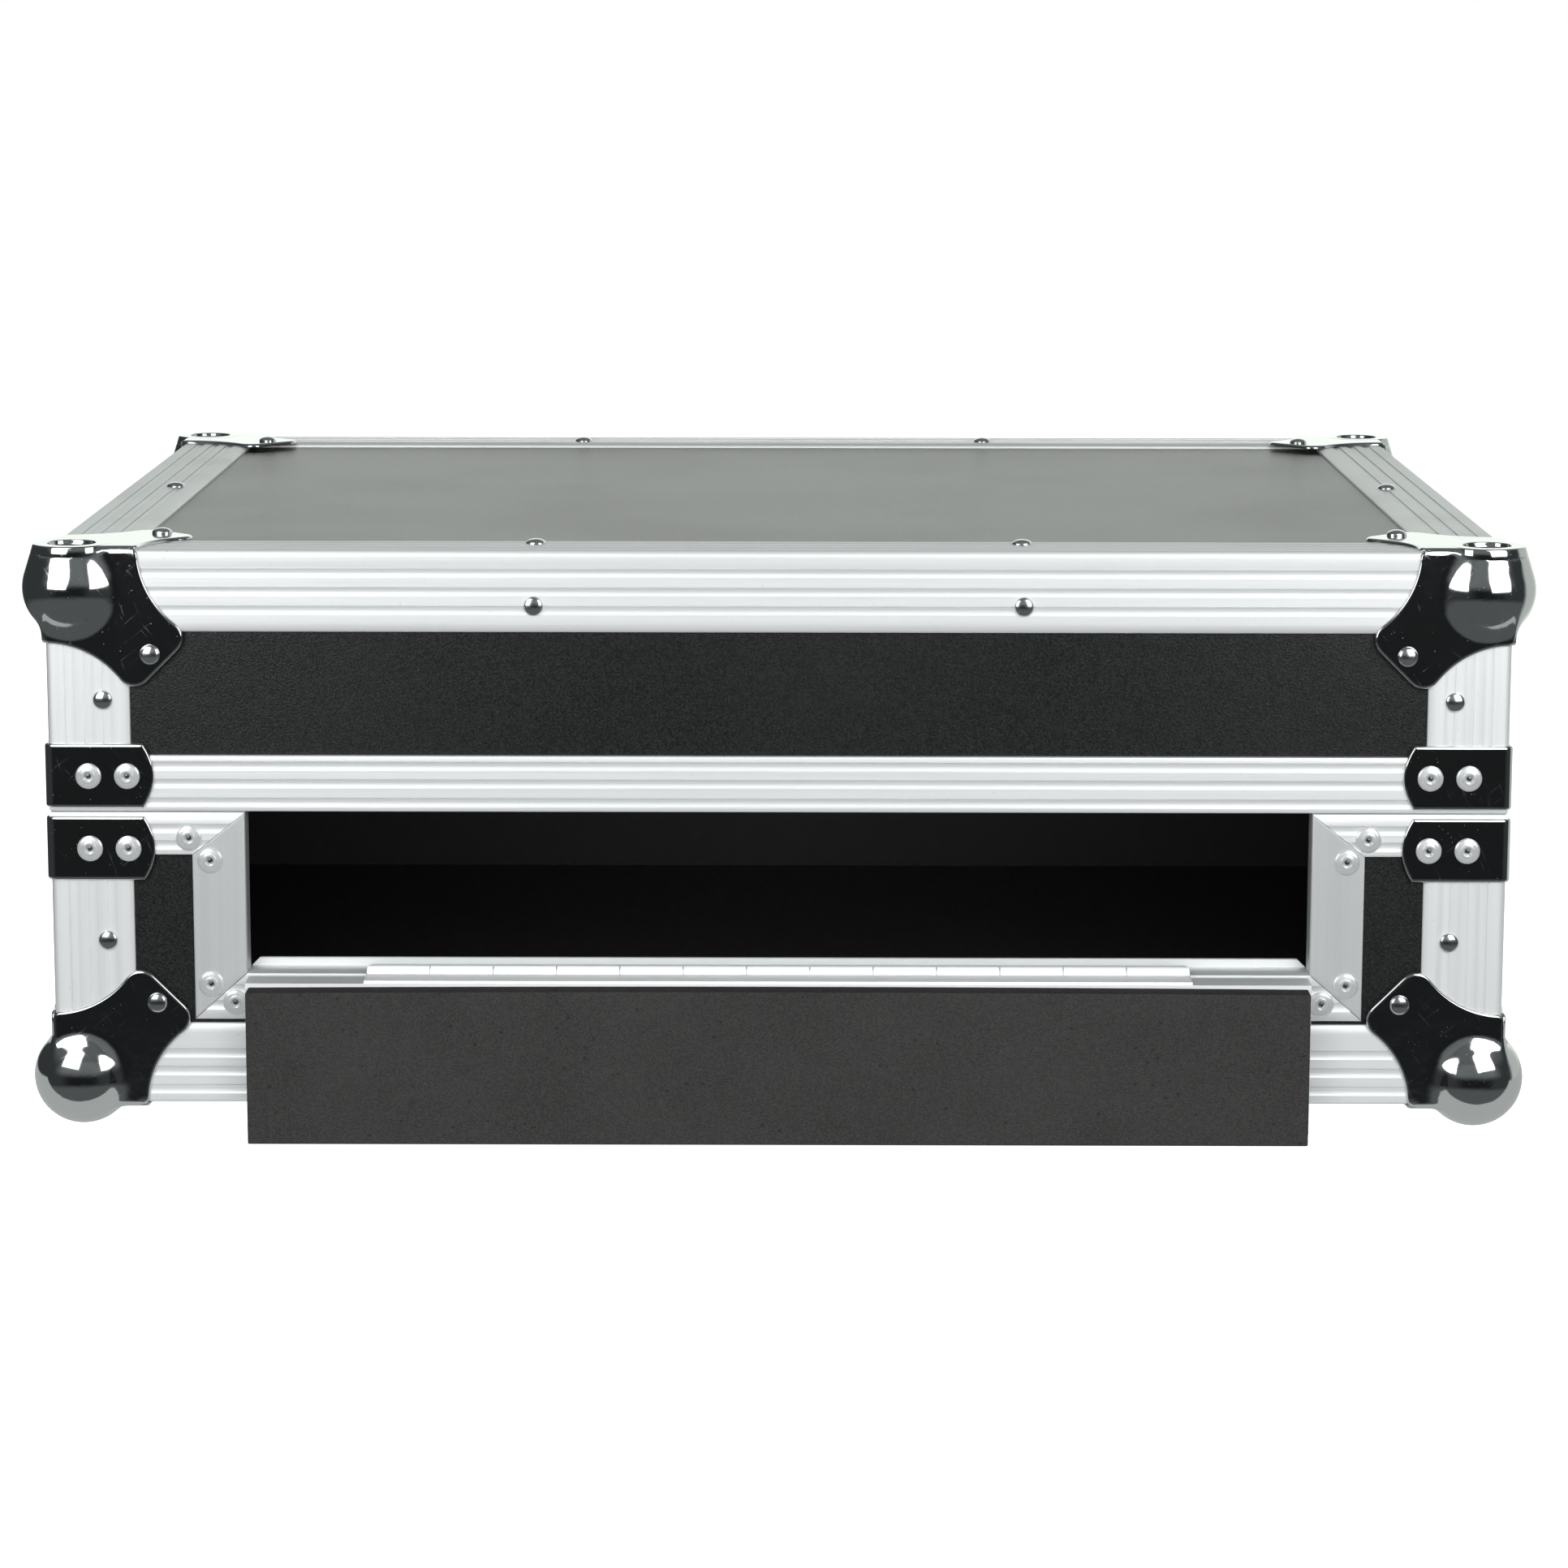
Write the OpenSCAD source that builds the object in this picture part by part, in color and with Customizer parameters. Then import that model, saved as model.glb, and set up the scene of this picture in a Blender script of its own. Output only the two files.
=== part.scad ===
// Flight case for a 19 inch mixer: plywood walls in aluminium edge extrusions, a lift-off lid
// with butterfly latches, and a foam-lined cable flap on a piano hinge in the rear wall.
// Millimetres. X runs to the right seen from the rear, the rear wall faces -Y, Z points up.
// The origin is on the ground, under the middle of the case.

/* [Case] */
// Width over the extrusions
case_w = 530; // [516:1:580]
// Depth over the extrusions
case_d = 418; // [400:1:480]
// Height of the base, from its underside to the parting line
base_h = 108.5; // [104:0.5:140]
// Height of the lid, from the parting line to its top
lid_h = 95.8; // [90:0.5:140]
// Gap at the parting line
parting_gap = 0.3; // [0.1:0.1:0.6]
// Thickness of the plywood
ply_t = 9; // [8.5:0.1:10]

/* [Edge extrusions] */
// Width of each leg of an edge extrusion
leg_w = 30; // [27:0.5:33]
// Thickness of the aluminium
leg_t = 2; // [1.8:0.1:2.4]
// Radius of the outer corner
edge_r = 2.5; // [1:0.1:3]
// Distance from the corner to the first groove
groove_start = 3.6; // [3:0.1:4.5]
// Width of a groove
groove_w = 3.3; // [2:0.1:4]
// Distance from one groove to the next
groove_pitch = 6.5; // [5:0.1:7]
// Depth of a groove
groove_depth = 0.7; // [0.3:0.1:1]
// Distance of the dome rivets from the corner of the extrusion
edge_rivet_in = 20.3; // [15:0.1:23]
// Distance between the two dome rivets on the front and rear extrusions
edge_rivet_pitch = 177; // [120:1:220]
// Height of the dome rivets on the base's posts, from the underside
base_post_rivet_z = 61; // [50:0.5:75]
// Height of the dome rivets on the lid's posts, from the parting line
lid_post_rivet_z = 41; // [34:0.5:48]

/* [Closing profiles] */
// Height of the base's closing profile on the outside
base_rim_h = 15.8; // [13:0.1:18]
// Height of the lid's closing profile on the outside
lid_rim_h = 20.6; // [18:0.1:24]
// Thickness of the inner leg of a closing profile
inner_leg_t = 1.5; // [1:0.1:2]
// Height of the inner leg of a closing profile
inner_leg_h = 13; // [9:0.5:13]
// Height of the tongue on the base
tongue_h = 4.5; // [3:0.1:5]
// Width of the tongue
tongue_w = 3; // [2:0.1:4]
// Distance of the tongue from the outer face
tongue_in = 4.5; // [3.5:0.1:5]
// Clearance of the tongue in the lid's groove
tongue_clear = 0.5; // [0.3:0.1:0.8]
// Width of the fine lines along the closing profiles
line_w = 0.7; // [0.4:0.1:1]
// Depth of the fine lines
line_depth = 0.5; // [0.2:0.1:0.8]

/* [Ball corners] */
// Radius of the ball
ball_r = 18.2; // [17:0.1:19]
// Distance of the ball's centre inside the case's faces
ball_in = 9; // [8:0.1:10]
// Depth of the upper ball's centre below the case's top
upper_ball_z = 14.8; // [13:0.1:16]
// Radius of the flat crown on the upper ball
crown_r = 14.2; // [12.5:0.1:15]
// Radius of the stacking dish in the crown
dish_r = 8.9; // [6:0.1:10]
// Depth of the stacking dish
dish_depth = 2.3; // [2:0.1:2.4]
// Clearance of the dish's cup in the extrusions
cup_clear = 0.2; // [0.1:0.1:0.4]
// Thickness of the pressed steel
corner_t = 1.4; // [1:0.1:1.8]
// Reach of a leg along the case's edge
petal_reach = 34.2; // [33:0.1:36]
// Distance of the centre of a leg's hollow side from the corner
waist_centre = 68; // [66:0.1:70]
// Distance of a shoulder's centre from the near edge of the case
shoulder_near = 32; // [31:0.1:33]
// Distance of a shoulder's centre from the far edge of the case
shoulder_far = 43.3; // [42:0.1:44]
// Distance of the rivet in each leg from both edges
petal_rivet_in = 38; // [36:0.1:40]

/* [Corner braces] */
// Reach of a brace from the vertical edge
brace_reach = 38.5; // [37:0.1:42]
// Height of a brace
brace_h = 23.6; // [20:0.1:25]
// Distance of a brace from the parting line
brace_gap = 1.4; // [0.6:0.1:2]
// Bulge of the rounded free end
brace_bulge = 4; // [2:0.1:6]
// Distance of the first rivet from the vertical edge
brace_rivet_in = 14.7; // [12:0.1:16]
// Distance between the two rivets of a brace
brace_rivet_pitch = 14; // [12:0.1:15]

/* [Rivets] */
// Radius of a dome rivet's head
dome_r = 3.7; // [3:0.1:4]
// Height of a dome rivet's head
dome_h = 2.2; // [1.5:0.1:2.4]
// Radius of a blind rivet's head
blind_r = 4.7; // [4:0.1:5]
// Height of a blind rivet's head
blind_h = 1.5; // [1.2:0.1:1.8]
// Radius of the hole in a blind rivet
blind_hole_r = 1.6; // [1.2:0.1:2]

/* [Cable opening] */
// Distance of the opening from the case's sides
opening_in = 71; // [67:1:95]
// Width of the flat frame beside the opening
frame_w = 19.5; // [17:0.1:21]
// Height of the sill above the case's underside
sill_z = 48.8; // [44:0.1:52]
// Height of the sill's outer face
sill_h = 17.3; // [15:0.1:18]
// Depth of the sill from the outer face
sill_depth = 16; // [15.5:0.1:18]
// Height of the lip along the back of the sill
lip_h = 3; // [2:0.1:3.5]
// Thickness of the lip
lip_t = 2; // [1:0.1:2.2]
// Depth of the frame beside the opening
jamb_depth = 13; // [12.5:0.1:15]

/* [Hinge] */
// Length of the piano hinge
hinge_len = 300; // [240:1:330]
// Number of knuckles
knuckle_count = 13; // [9:2:19]
// Radius of a knuckle
knuckle_r = 2.5; // [2.2:0.1:2.8]
// Gap between two knuckles
knuckle_gap = 0.4; // [0.3:0.1:0.8]
// Radius of the hinge pin
pin_r = 1.2; // [0.9:0.1:1.4]
// Radial clearance of the pin in the moving knuckles
pin_clear = 0.05; // [0.03:0.01:0.1]
// Thickness of a hinge leaf
leaf_t = 1; // [0.8:0.1:1.2]
// Depth of a hinge leaf from the outer face
leaf_w = 12; // [9:0.1:12.4]
// Gap between the closed leaves
leaf_gap = 0.3; // [0.2:0.1:0.6]
// Gap between the outer face and the knuckles
knuckle_out = 0.1; // [0.1:0.1:0.3]

/* [Flap] */
// Clearance of the flap in the opening, at each end
flap_clear = 1; // [0.6:0.1:2]
// Clearance of the swinging flap under the lid
swing_clear = 0.3; // [0.3:0.1:1]
// Width of the flap's edge profile
flap_edge_w = 15.5; // [12:0.1:18]
// Thickness of the foam lining
foam_t = 10; // [8:0.5:12]
// Bare strip between the foam and the flap's hinge edge
foam_gap = 2.6; // [2:0.1:5]
// Clearance of the closed flap's foam under the lid
foam_clear = 0.4; // [0.3:0.1:1]
// Distance of the foam's ends from the flap's ends
foam_in = 1.2; // [1:0.1:5]

/* [Rack rails] */
// Distance of each row of mounting holes from the case's side, which leaves 465.1 between the rows
rail_hole_in = 32.45; // [32.3:0.05:32.6]
// Distance of each rail's free edge from the case's side, which leaves 451 between the rails
rail_in = 39.5; // [38.5:0.5:40]
// Number of rack units
rack_units = 8; // [6:1:8]
// Height of one rack unit
rack_unit_h = 44.45; // [44.45:0.01:44.5]
// Radius of the tapped holes
rack_hole_r = 2.5; // [2.4:0.05:2.6]
// Distance of the rails' top from the parting line
rail_down = 14; // [14:0.5:20]
// Thickness of the rail
rail_t = 2; // [1.5:0.1:2.5]
// Height of the rail's turned-down leg
rail_leg_h = 12; // [8:0.5:16]
// Height of the wooden batten under the rail
batten_h = 22; // [18:0.5:30]
// Width of the groove for the screws' ends
batten_groove_w = 8; // [7:0.5:8]
// Depth of that groove
batten_groove_h = 16; // [12:0.5:16]

/* [Handle] */
// Distance between the bail's arms
bail_w = 116; // [100:1:130]
// Radius of the bail's rod
bail_r = 4; // [3.5:0.1:4.5]
// Radius of the bail's bends
bend_r = 10; // [8:0.5:12]
// Distance from the pivot to the grip
bail_drop = 38; // [34:0.5:42]
// Distance of the pivot below the parting line
pivot_down = 28.5; // [26.5:0.5:30]
// Clearance of the rod in its ears
ear_clear = 0.08; // [0.05:0.01:0.1]
// Radius of an ear
ear_r = 8; // [7:0.5:9]
// Thickness of an ear
ear_t = 8; // [6:0.5:10]
// Gap between an arm and its ear
ear_gap = 0.5; // [0.3:0.1:1]
// Thickness of the handle's plate
plate_t = 1.5; // [1.2:0.1:2]
// Width of the handle's plate beyond the ears
plate_margin = 9; // [6:0.5:14]
// Height of the handle's plate
plate_h = 46; // [40:1:50]
// Radius of the rubber grip
grip_r = 10; // [9:0.1:11]
// Length of the rubber grip
grip_len = 84; // [70:1:90]
// Rounding of the grip's ends
grip_round = 3; // [1:0.5:4]
// Number of finger rings in the grip
ring_count = 4; // [2:1:6]
// Depth of a finger ring
ring_depth = 0.8; // [0.4:0.1:1.2]

/* [Latches] */
// Width of a latch's dish over its flange
dish_w = 112; // [104:1:118]
// Width of the pocket
pocket_w = 92; // [84:1:96]
// Height of the flange on the base
dish_base_h = 47; // [46:0.5:50]
// Height of the flange on the lid
dish_lid_h = 36; // [34:0.5:42]
// Width of the flange below and above the pocket
flange_w = 7; // [5:0.5:8]
// Radius of the dish's corners
dish_corner_r = 6; // [3:0.5:7]
// Thickness of the dish's steel
sheet_t = 1.2; // [1:0.1:1.4]
// Clearance of the dish in the plywood and profiles
dish_clear = 0.3; // [0.2:0.1:0.6]
// Distance of the wing's axis from the parting line
wing_axis_down = 20; // [19.5:0.5:21]
// Radius of the wing
wing_r = 17; // [15:0.5:18]
// Radius of the notches that give the wing its waist
wing_notch_r = 12; // [10:0.5:13]
// Radius of the cam behind the wing
cam_r = 7; // [6:0.5:8]
// Eccentricity of the cam
cam_ecc = 3; // [2.5:0.1:3.2]
// Clearance among the latch's moving pieces
latch_clear = 0.3; // [0.25:0.05:0.4]
// Thickness of the wing
wing_t = 1.2; // [1:0.1:1.4]
// Height of the finger rib on the wing
rib_h = 1.3; // [0.8:0.1:1.6]
// Thickness of the hook
hook_t = 1; // [0.8:0.1:1.2]
// Width of the hook
hook_w = 30; // [27:1:34]
// Way that the hook moves inwards as it closes
hook_in = 2.6; // [2.4:0.1:2.8]
// Width of the strips that frame the hook's windows
hook_frame = 4; // [3:0.5:5]
// Height of the strike above the parting line
strike_z = 13; // [11:0.5:15]
// Width of the strike
strike_w = 24; // [18:1:28]

/* [Lid lining] */
// Thickness of the foam under the lid's top
lining_t = 12; // [8:1:25]
// Clearance of the foam at the walls
lining_clear = 0.3; // [0.1:0.1:2]

/* [Hidden] */
$fn = 64;

REAR = 0;
RIGHT = 1;
FRONT = 2;
LEFT = 3;
SIDES = [REAR, RIGHT, FRONT, LEFT];
ALUMINIUM = "#d6dada";
CHROME = "#8f9498";
LAMINATE = "#2c2e30";
FOAM = "#444643";
STEEL = "#b4b8ba";
WOOD = "#b98d58";
RUBBER = "#26272a";

groove_count = 3;
base_line_z = [4.4, 10.5];
lid_line_z = [5, 11.9, 18.3];
over = 1;
big = 200;

ball_drop = ball_r - ball_in;
lid_z = base_h + parting_gap;
top_z = lid_z + lid_h;
wall_in = leg_t + ply_t;
rim_depth = wall_in + inner_leg_t;
rim_web = leg_t;
groove_floor = tongue_h + tongue_clear + leg_t;

cup_r = dish_r + corner_t;

waist_r = waist_centre - petal_reach;
shoulder_r = norm([waist_centre - shoulder_far, shoulder_near]) - waist_r;
waist_turn = atan2(shoulder_near, waist_centre - shoulder_far);

opening_w = case_w - 2 * opening_in;
hinge_d = -knuckle_r - knuckle_out;
hinge_z = sill_z + leaf_t + leaf_gap / 2;
knuckle_pitch = hinge_len / knuckle_count;
leaf_start = knuckle_out + 0.2;
flap_w = opening_w - 2 * flap_clear;
flap_bottom = hinge_z + leaf_gap / 2 + leaf_t;
swing_r = lid_z - swing_clear - hinge_z;
flap_top = hinge_z + sqrt(pow(swing_r, 2) - pow(rim_depth - hinge_d, 2));
foam_bottom = flap_bottom + foam_gap;
foam_top = lid_z - foam_clear;
flap_reach = rim_depth + foam_t - 2 * hinge_d;

rail_z = base_h - rail_down;
rail_len = case_d - 2 * (rim_depth + dish_clear);

pivot_d = grip_r - flap_reach;
pivot_z = base_h - pivot_down;
arm_x = bail_w / 2;
ear_x = arm_x + bail_r + ear_gap;

pocket_floor = wall_in - sheet_t;
pocket_side = (dish_w - pocket_w) / 2;
wing_axis_z = base_h - wing_axis_down;
lip_u = hook_in + 0.2;
hook_u = lip_u + latch_clear;
wing_u = hook_u + hook_t + hook_in + latch_clear;
hook_lift = 2 * cam_ecc;
// A straight hook follows the round cam with an error of up to a fifth of the eccentricity
yoke_play = 0.22 * cam_ecc + latch_clear;

function side_len(k) = k % 2 == 0 ? case_w : case_d;
function reach(k) = side_len(k + 1) / 2;
// Points of an arc round c from angle a0 to a1
function arc(c, r, a0, a1, n = 10) = [for (i = [0 : n]) c + r * [cos(a0 + (a1 - a0) * i / n),
    sin(a0 + (a1 - a0) * i / n)]];

// Puts a piece drawn for the rear wall on any side: x runs along the wall, y from the outer face
// inwards, z up from the underside of the case
module on_side(k) rotate([0, 0, 90 * k]) translate([0, -reach(k), ball_drop]) children();

// Puts a piece drawn in the rear left lower corner in the corner where side k starts
module at_corner(k) rotate([0, 0, 90 * k]) translate([-side_len(k) / 2, -reach(k), ball_drop])
    children();

// Turns what is drawn from the underside up into what hangs from the lid's top
module from_top() translate([0, 0, top_z]) mirror([0, 0, 1]) children();

// Thickens an outline in x and z into a plate from depth d on
module on_face(d, t) translate([0, d + t, 0]) rotate([90, 0, 0]) linear_extrude(t) children();

// Draws a section in depth and height out along x, centred
module along(len) translate([-len / 2, 0, 0]) rotate([90, 0, 90]) linear_extrude(len) children();

// Outline of a side with both ends cut at 45 degrees
module mitred(len, w) polygon([[-len / 2, 0], [len / 2, 0], [len / 2 - w, w], [-len / 2 + w, w]]);

// Section of the edge extrusion, its corner at the origin
module angle_section() difference() {
    union() {
        square([leg_w, leg_t]);
        square([leg_t, leg_w]);
    }
    difference() {
        translate([-over, -over]) square(edge_r + over);
        translate([edge_r, edge_r]) circle(edge_r);
    }
    for (i = [0 : groove_count - 1]) {
        at = groove_start + i * groove_pitch;
        translate([at, -over]) square([groove_w, groove_depth + over]);
        translate([-over, at]) square([groove_depth + over, groove_w]);
    }
}

// An edge extrusion along side k, mitred in both of its faces
module edge(k) color(ALUMINIUM) intersection() {
    along(side_len(k)) angle_section();
    linear_extrude(leg_w) mitred(side_len(k), leg_w);
    on_face(0, leg_w) mitred(side_len(k), leg_w);
}

// A post in a vertical edge, mitred at its lower end
module post(h) color(ALUMINIUM) intersection() {
    linear_extrude(h) angle_section();
    on_face(0, leg_w) post_outline(h);
    rotate([90, 0, 90]) linear_extrude(leg_w) post_outline(h);
}
module post_outline(h) polygon([[0, 0], [leg_w, leg_w], [leg_w, h], [0, h]]);

// Sections of the closing profiles, in depth and in height from the parting line
module base_rim_section() difference() {
    union() {
        translate([0, -base_rim_h]) square([leg_t, base_rim_h]);
        translate([0, -rim_web]) square([rim_depth, rim_web]);
        translate([wall_in, -inner_leg_h]) square([inner_leg_t, inner_leg_h]);
        translate([tongue_in, -over]) square([tongue_w, tongue_h + over]);
    }
    for (z = base_line_z) translate([-over, -z - line_w / 2]) square([line_depth + over, line_w]);
}
module lid_rim_section() difference() {
    union() {
        square([leg_t, lid_rim_h]);
        square([rim_depth, groove_floor]);
        translate([wall_in, 0]) square([inner_leg_t, inner_leg_h]);
    }
    translate([tongue_in - tongue_clear, -over])
        square([tongue_w + 2 * tongue_clear, tongue_h + tongue_clear + over]);
    for (z = lid_line_z) translate([-over, z - line_w / 2]) square([line_depth + over, line_w]);
}

// A closing profile along side k, mitred at the corners of the case
module rim(k) intersection() {
    along(side_len(k)) children();
    translate([0, 0, -big / 2]) linear_extrude(big) mitred(side_len(k), rim_depth + over);
}
module base_rim(k) translate([0, 0, base_h]) rim(k) base_rim_section();
module lid_rim(k) translate([0, 0, lid_z]) rim(k) lid_rim_section();

// A tab with two round corners at its far end, standing on the x axis
module tab(w, h, r) polygon(concat([[-w / 2, 0], [w / 2, 0]],
    arc([w / 2 - r, h - r], r, 0, 90, 6), arc([r - w / 2, h - r], r, 90, 180, 6)));

// The holes that the latch's dish goes through, in the plywood, the profiles and the tongue
module dish_hole_below(w, h) translate([0, 0, base_h + tongue_h + over]) mirror([0, 0, 1])
    on_face(-over, wall_in + over)
        tab(w + 2 * dish_clear, h + tongue_h + over + dish_clear, dish_corner_r);
module dish_hole_above(w, h) translate([0, 0, lid_z - over])
    on_face(-over, wall_in + over) tab(w + 2 * dish_clear, h + over + dish_clear, dish_corner_r);

module base_floor() color(LAMINATE) translate([leg_t - case_w / 2, leg_t - case_d / 2, ball_drop + leg_t])
    cube([case_w - 2 * leg_t, case_d - 2 * leg_t, ply_t]);

// A plywood wall of the base, standing on the floor
module base_wall(k, inset) color(LAMINATE) translate([inset - side_len(k) / 2, leg_t, wall_in])
    cube([side_len(k) - 2 * inset, ply_t, base_h - rim_web - wall_in]);

module base_rear_wall() on_side(REAR) difference() {
    base_wall(REAR, leg_t);
    translate([-opening_w / 2 - leg_t, 0, sill_z - leg_t])
        cube([opening_w + 2 * leg_t, wall_in + over, base_h]);
}
module base_front_wall() on_side(FRONT) base_wall(FRONT, leg_t);
module base_side_wall(k) on_side(k) difference() {
    base_wall(k, wall_in);
    dish_hole_below(pocket_w + 2 * sheet_t, dish_base_h - flange_w + sheet_t);
}
module base_left_wall() base_side_wall(LEFT);
module base_right_wall() base_side_wall(RIGHT);

module base_edge_rear() on_side(REAR) edge(REAR);
module base_edge_right() on_side(RIGHT) edge(RIGHT);
module base_edge_front() on_side(FRONT) edge(FRONT);
module base_edge_left() on_side(LEFT) edge(LEFT);
module base_posts() for (k = SIDES) at_corner(k) post(base_h - base_rim_h);

// The rear profile stops at the cable opening, mitred to the frame beside it
module base_rim_rear() color(ALUMINIUM) on_side(REAR) difference() {
    base_rim(REAR);
    on_face(-over, wall_in + big) polygon([[-opening_w / 2 - frame_w, base_h - base_rim_h],
        [-opening_w / 2 - frame_w, 0], [opening_w / 2 + frame_w, 0],
        [opening_w / 2 + frame_w, base_h - base_rim_h], [opening_w / 2, base_h],
        [opening_w / 2, base_h + big], [-opening_w / 2, base_h + big], [-opening_w / 2, base_h]]);
}
module base_rim_front() color(ALUMINIUM) on_side(FRONT) base_rim(FRONT);
module base_side_rim(k) color(ALUMINIUM) on_side(k) difference() {
    base_rim(k);
    dish_hole_below(dish_w, dish_base_h);
}
module base_rim_left() base_side_rim(LEFT);
module base_rim_right() base_side_rim(RIGHT);

module opening_sill() color(ALUMINIUM) on_side(REAR) {
    difference() {
        on_face(0, leg_t) polygon([[-opening_w / 2 - frame_w, sill_z - sill_h],
            [opening_w / 2 + frame_w, sill_z - sill_h], [opening_w / 2, sill_z],
            [-opening_w / 2, sill_z]]);
        for (z = [sill_h / 4, sill_h * 3 / 5])
            translate([-case_w / 2, -over, sill_z - z]) cube([case_w, line_depth + over, line_w]);
    }
    translate([-opening_w / 2, 0, sill_z - leg_t]) cube([opening_w, sill_depth, leg_t]);
    translate([-opening_w / 2, wall_in, sill_z - inner_leg_h])
        cube([opening_w, inner_leg_t, inner_leg_h]);
    on_face(sill_depth - lip_t, lip_t) polygon([[-opening_w / 2, sill_z - leg_t],
        [opening_w / 2, sill_z - leg_t], [opening_w / 2, sill_z],
        [opening_w / 2 - lip_h, sill_z + lip_h], [lip_h - opening_w / 2, sill_z + lip_h],
        [-opening_w / 2, sill_z]]);
}

// The frame beside the opening, drawn on the right of it: an outer face, a reveal and an inner leg
module jamb() color(ALUMINIUM) {
    on_face(0, leg_t) polygon([[opening_w / 2, sill_z],
        [opening_w / 2 + frame_w, sill_z - sill_h], [opening_w / 2 + frame_w, mitre_z(frame_w)],
        [opening_w / 2, base_h]]);
    on_face(0, jamb_depth) jamb_strip(leg_t);
    on_face(wall_in, jamb_depth - wall_in) jamb_strip(inner_leg_h);
}
module jamb_strip(w) polygon([[opening_w / 2, sill_z], [opening_w / 2 + w, sill_z],
    [opening_w / 2 + w, mitre_z(w)], [opening_w / 2, base_h]]);
// Height of the mitre between this frame and the closing profile, at distance w from the opening
function mitre_z(w) = base_h - w * base_rim_h / frame_w;
module opening_jamb_right() on_side(REAR) jamb();
module opening_jamb_left() on_side(REAR) mirror([1, 0, 0]) jamb();

// Outline of one leg of a ball corner: hollow sides, two shoulders and a blunt end
module petal_outline() polygon(concat([[-corner_t, -corner_t], [petal_reach, -corner_t]],
    arc([waist_centre, 0], waist_r, 180, 180 - waist_turn),
    arc([shoulder_far, shoulder_near], shoulder_r, -waist_turn, 45),
    arc([shoulder_near, shoulder_far], shoulder_r, 45, 90 + waist_turn),
    arc([0, waist_centre], waist_r, waist_turn - 90, -90),
    [[-corner_t, petal_reach]]));

// The three legs, on the case's three faces round the corner at the origin
module petals() {
    translate([0, 0, -corner_t]) linear_extrude(corner_t) petal_outline();
    on_face(-corner_t, corner_t) petal_outline();
    translate([-corner_t, 0, 0]) rotate([90, 0, 90]) linear_extrude(corner_t) petal_outline();
}

module lower_ball_corner() color(CHROME) difference() {
    union() {
        translate([ball_in, ball_in, ball_in]) sphere(ball_r);
        petals();
    }
    translate([ball_in, ball_in, ball_in]) sphere(ball_r - corner_t);
    cube(2 * leg_w);
}

// The upper corner ends in a flat crown with a dish, where the ball of a case above stands
module upper_ball_corner() color(CHROME) difference() {
    union() {
        translate([ball_in, ball_in, upper_ball_z]) intersection() {
            sphere(ball_r);
            translate([0, 0, big / 2 - upper_ball_z]) cube(big, center = true);
        }
        translate([ball_in, ball_in, -corner_t]) cylinder(r = crown_r, h = upper_ball_z);
        petals();
    }
    intersection() {
        translate([ball_in, ball_in, upper_ball_z]) sphere(ball_r - corner_t);
        translate([0, 0, big / 2 + leg_t]) cube(big, center = true);
    }
    difference() {
        cube(2 * leg_w);
        translate([ball_in, ball_in, -over]) cylinder(r = cup_r, h = leg_t + over);
    }
    translate([ball_in, ball_in, -corner_t - over]) cylinder(r = dish_r, h = dish_depth + over);
}
// The room for the dish in the extrusions that meet there
module dish_room() translate([ball_in, ball_in, -over])
    cylinder(r = cup_r + cup_clear, h = leg_t + over);
module base_ball_corners() for (k = SIDES) at_corner(k) lower_ball_corner();
module lid_ball_corners() for (k = SIDES) at_corner(k) from_top() upper_ball_corner();

// A brace bent round a vertical edge, its lower edge at z = 0
module brace_outline() polygon(concat([[-corner_t, 0]],
    [for (i = [0 : 8]) [brace_reach - brace_bulge * pow(1 - i / 4, 2), brace_h * i / 8]],
    [[-corner_t, brace_h]]));
module brace() color(CHROME) {
    on_face(-corner_t, corner_t) brace_outline();
    translate([-corner_t, 0, 0]) rotate([90, 0, 90]) linear_extrude(corner_t) brace_outline();
}
module base_corner_braces() for (k = SIDES) at_corner(k)
    translate([0, 0, base_h - brace_gap - brace_h]) brace();
module lid_corner_braces() for (k = SIDES) at_corner(k)
    translate([0, 0, lid_z + brace_gap]) brace();

// Rivet heads, standing on z = 0
module dome_rivet() color(CHROME) intersection() {
    cap_r = (pow(dome_r, 2) + pow(dome_h, 2)) / (2 * dome_h);
    translate([0, 0, dome_h - cap_r]) sphere(cap_r);
    cylinder(r = dome_r + over, h = dome_h + over);
}
module blind_rivet() color(STEEL) rotate_extrude() polygon([[0, 0], [blind_r, 0],
    [blind_r, blind_h / 4], [blind_r * 0.78, blind_h * 0.85], [blind_r * 0.55, blind_h],
    [blind_hole_r, blind_h], [blind_hole_r, blind_h / 3], [0, blind_h / 3]]);
// Turns a rivet to stand out of a wall whose surface lies at depth d
module out_of(x, d, z) translate([x, d, z]) rotate([90, 0, 0]) children();

// Dome rivets round a corner's legs, of the edge extrusions and of the posts, drawn from z = 0 up
module ball_corner_rivets() {
    translate([petal_rivet_in, petal_rivet_in, -corner_t]) mirror([0, 0, 1]) dome_rivet();
    out_of(petal_rivet_in, -corner_t, petal_rivet_in) dome_rivet();
    translate([-corner_t, petal_rivet_in, petal_rivet_in]) rotate([0, -90, 0]) dome_rivet();
}
module edge_rivets(k) for (x = k % 2 == 0 ? [-edge_rivet_pitch / 2, edge_rivet_pitch / 2] : [0]) {
    out_of(x, 0, edge_rivet_in) dome_rivet();
    translate([x, edge_rivet_in, 0]) mirror([0, 0, 1]) dome_rivet();
}
module post_rivets(z) {
    out_of(edge_rivet_in, 0, z) dome_rivet();
    translate([0, edge_rivet_in, z]) rotate([0, -90, 0]) dome_rivet();
}
module base_dome_rivets() for (k = SIDES) {
    on_side(k) edge_rivets(k);
    at_corner(k) ball_corner_rivets();
    at_corner(k) post_rivets(base_post_rivet_z);
}
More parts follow.
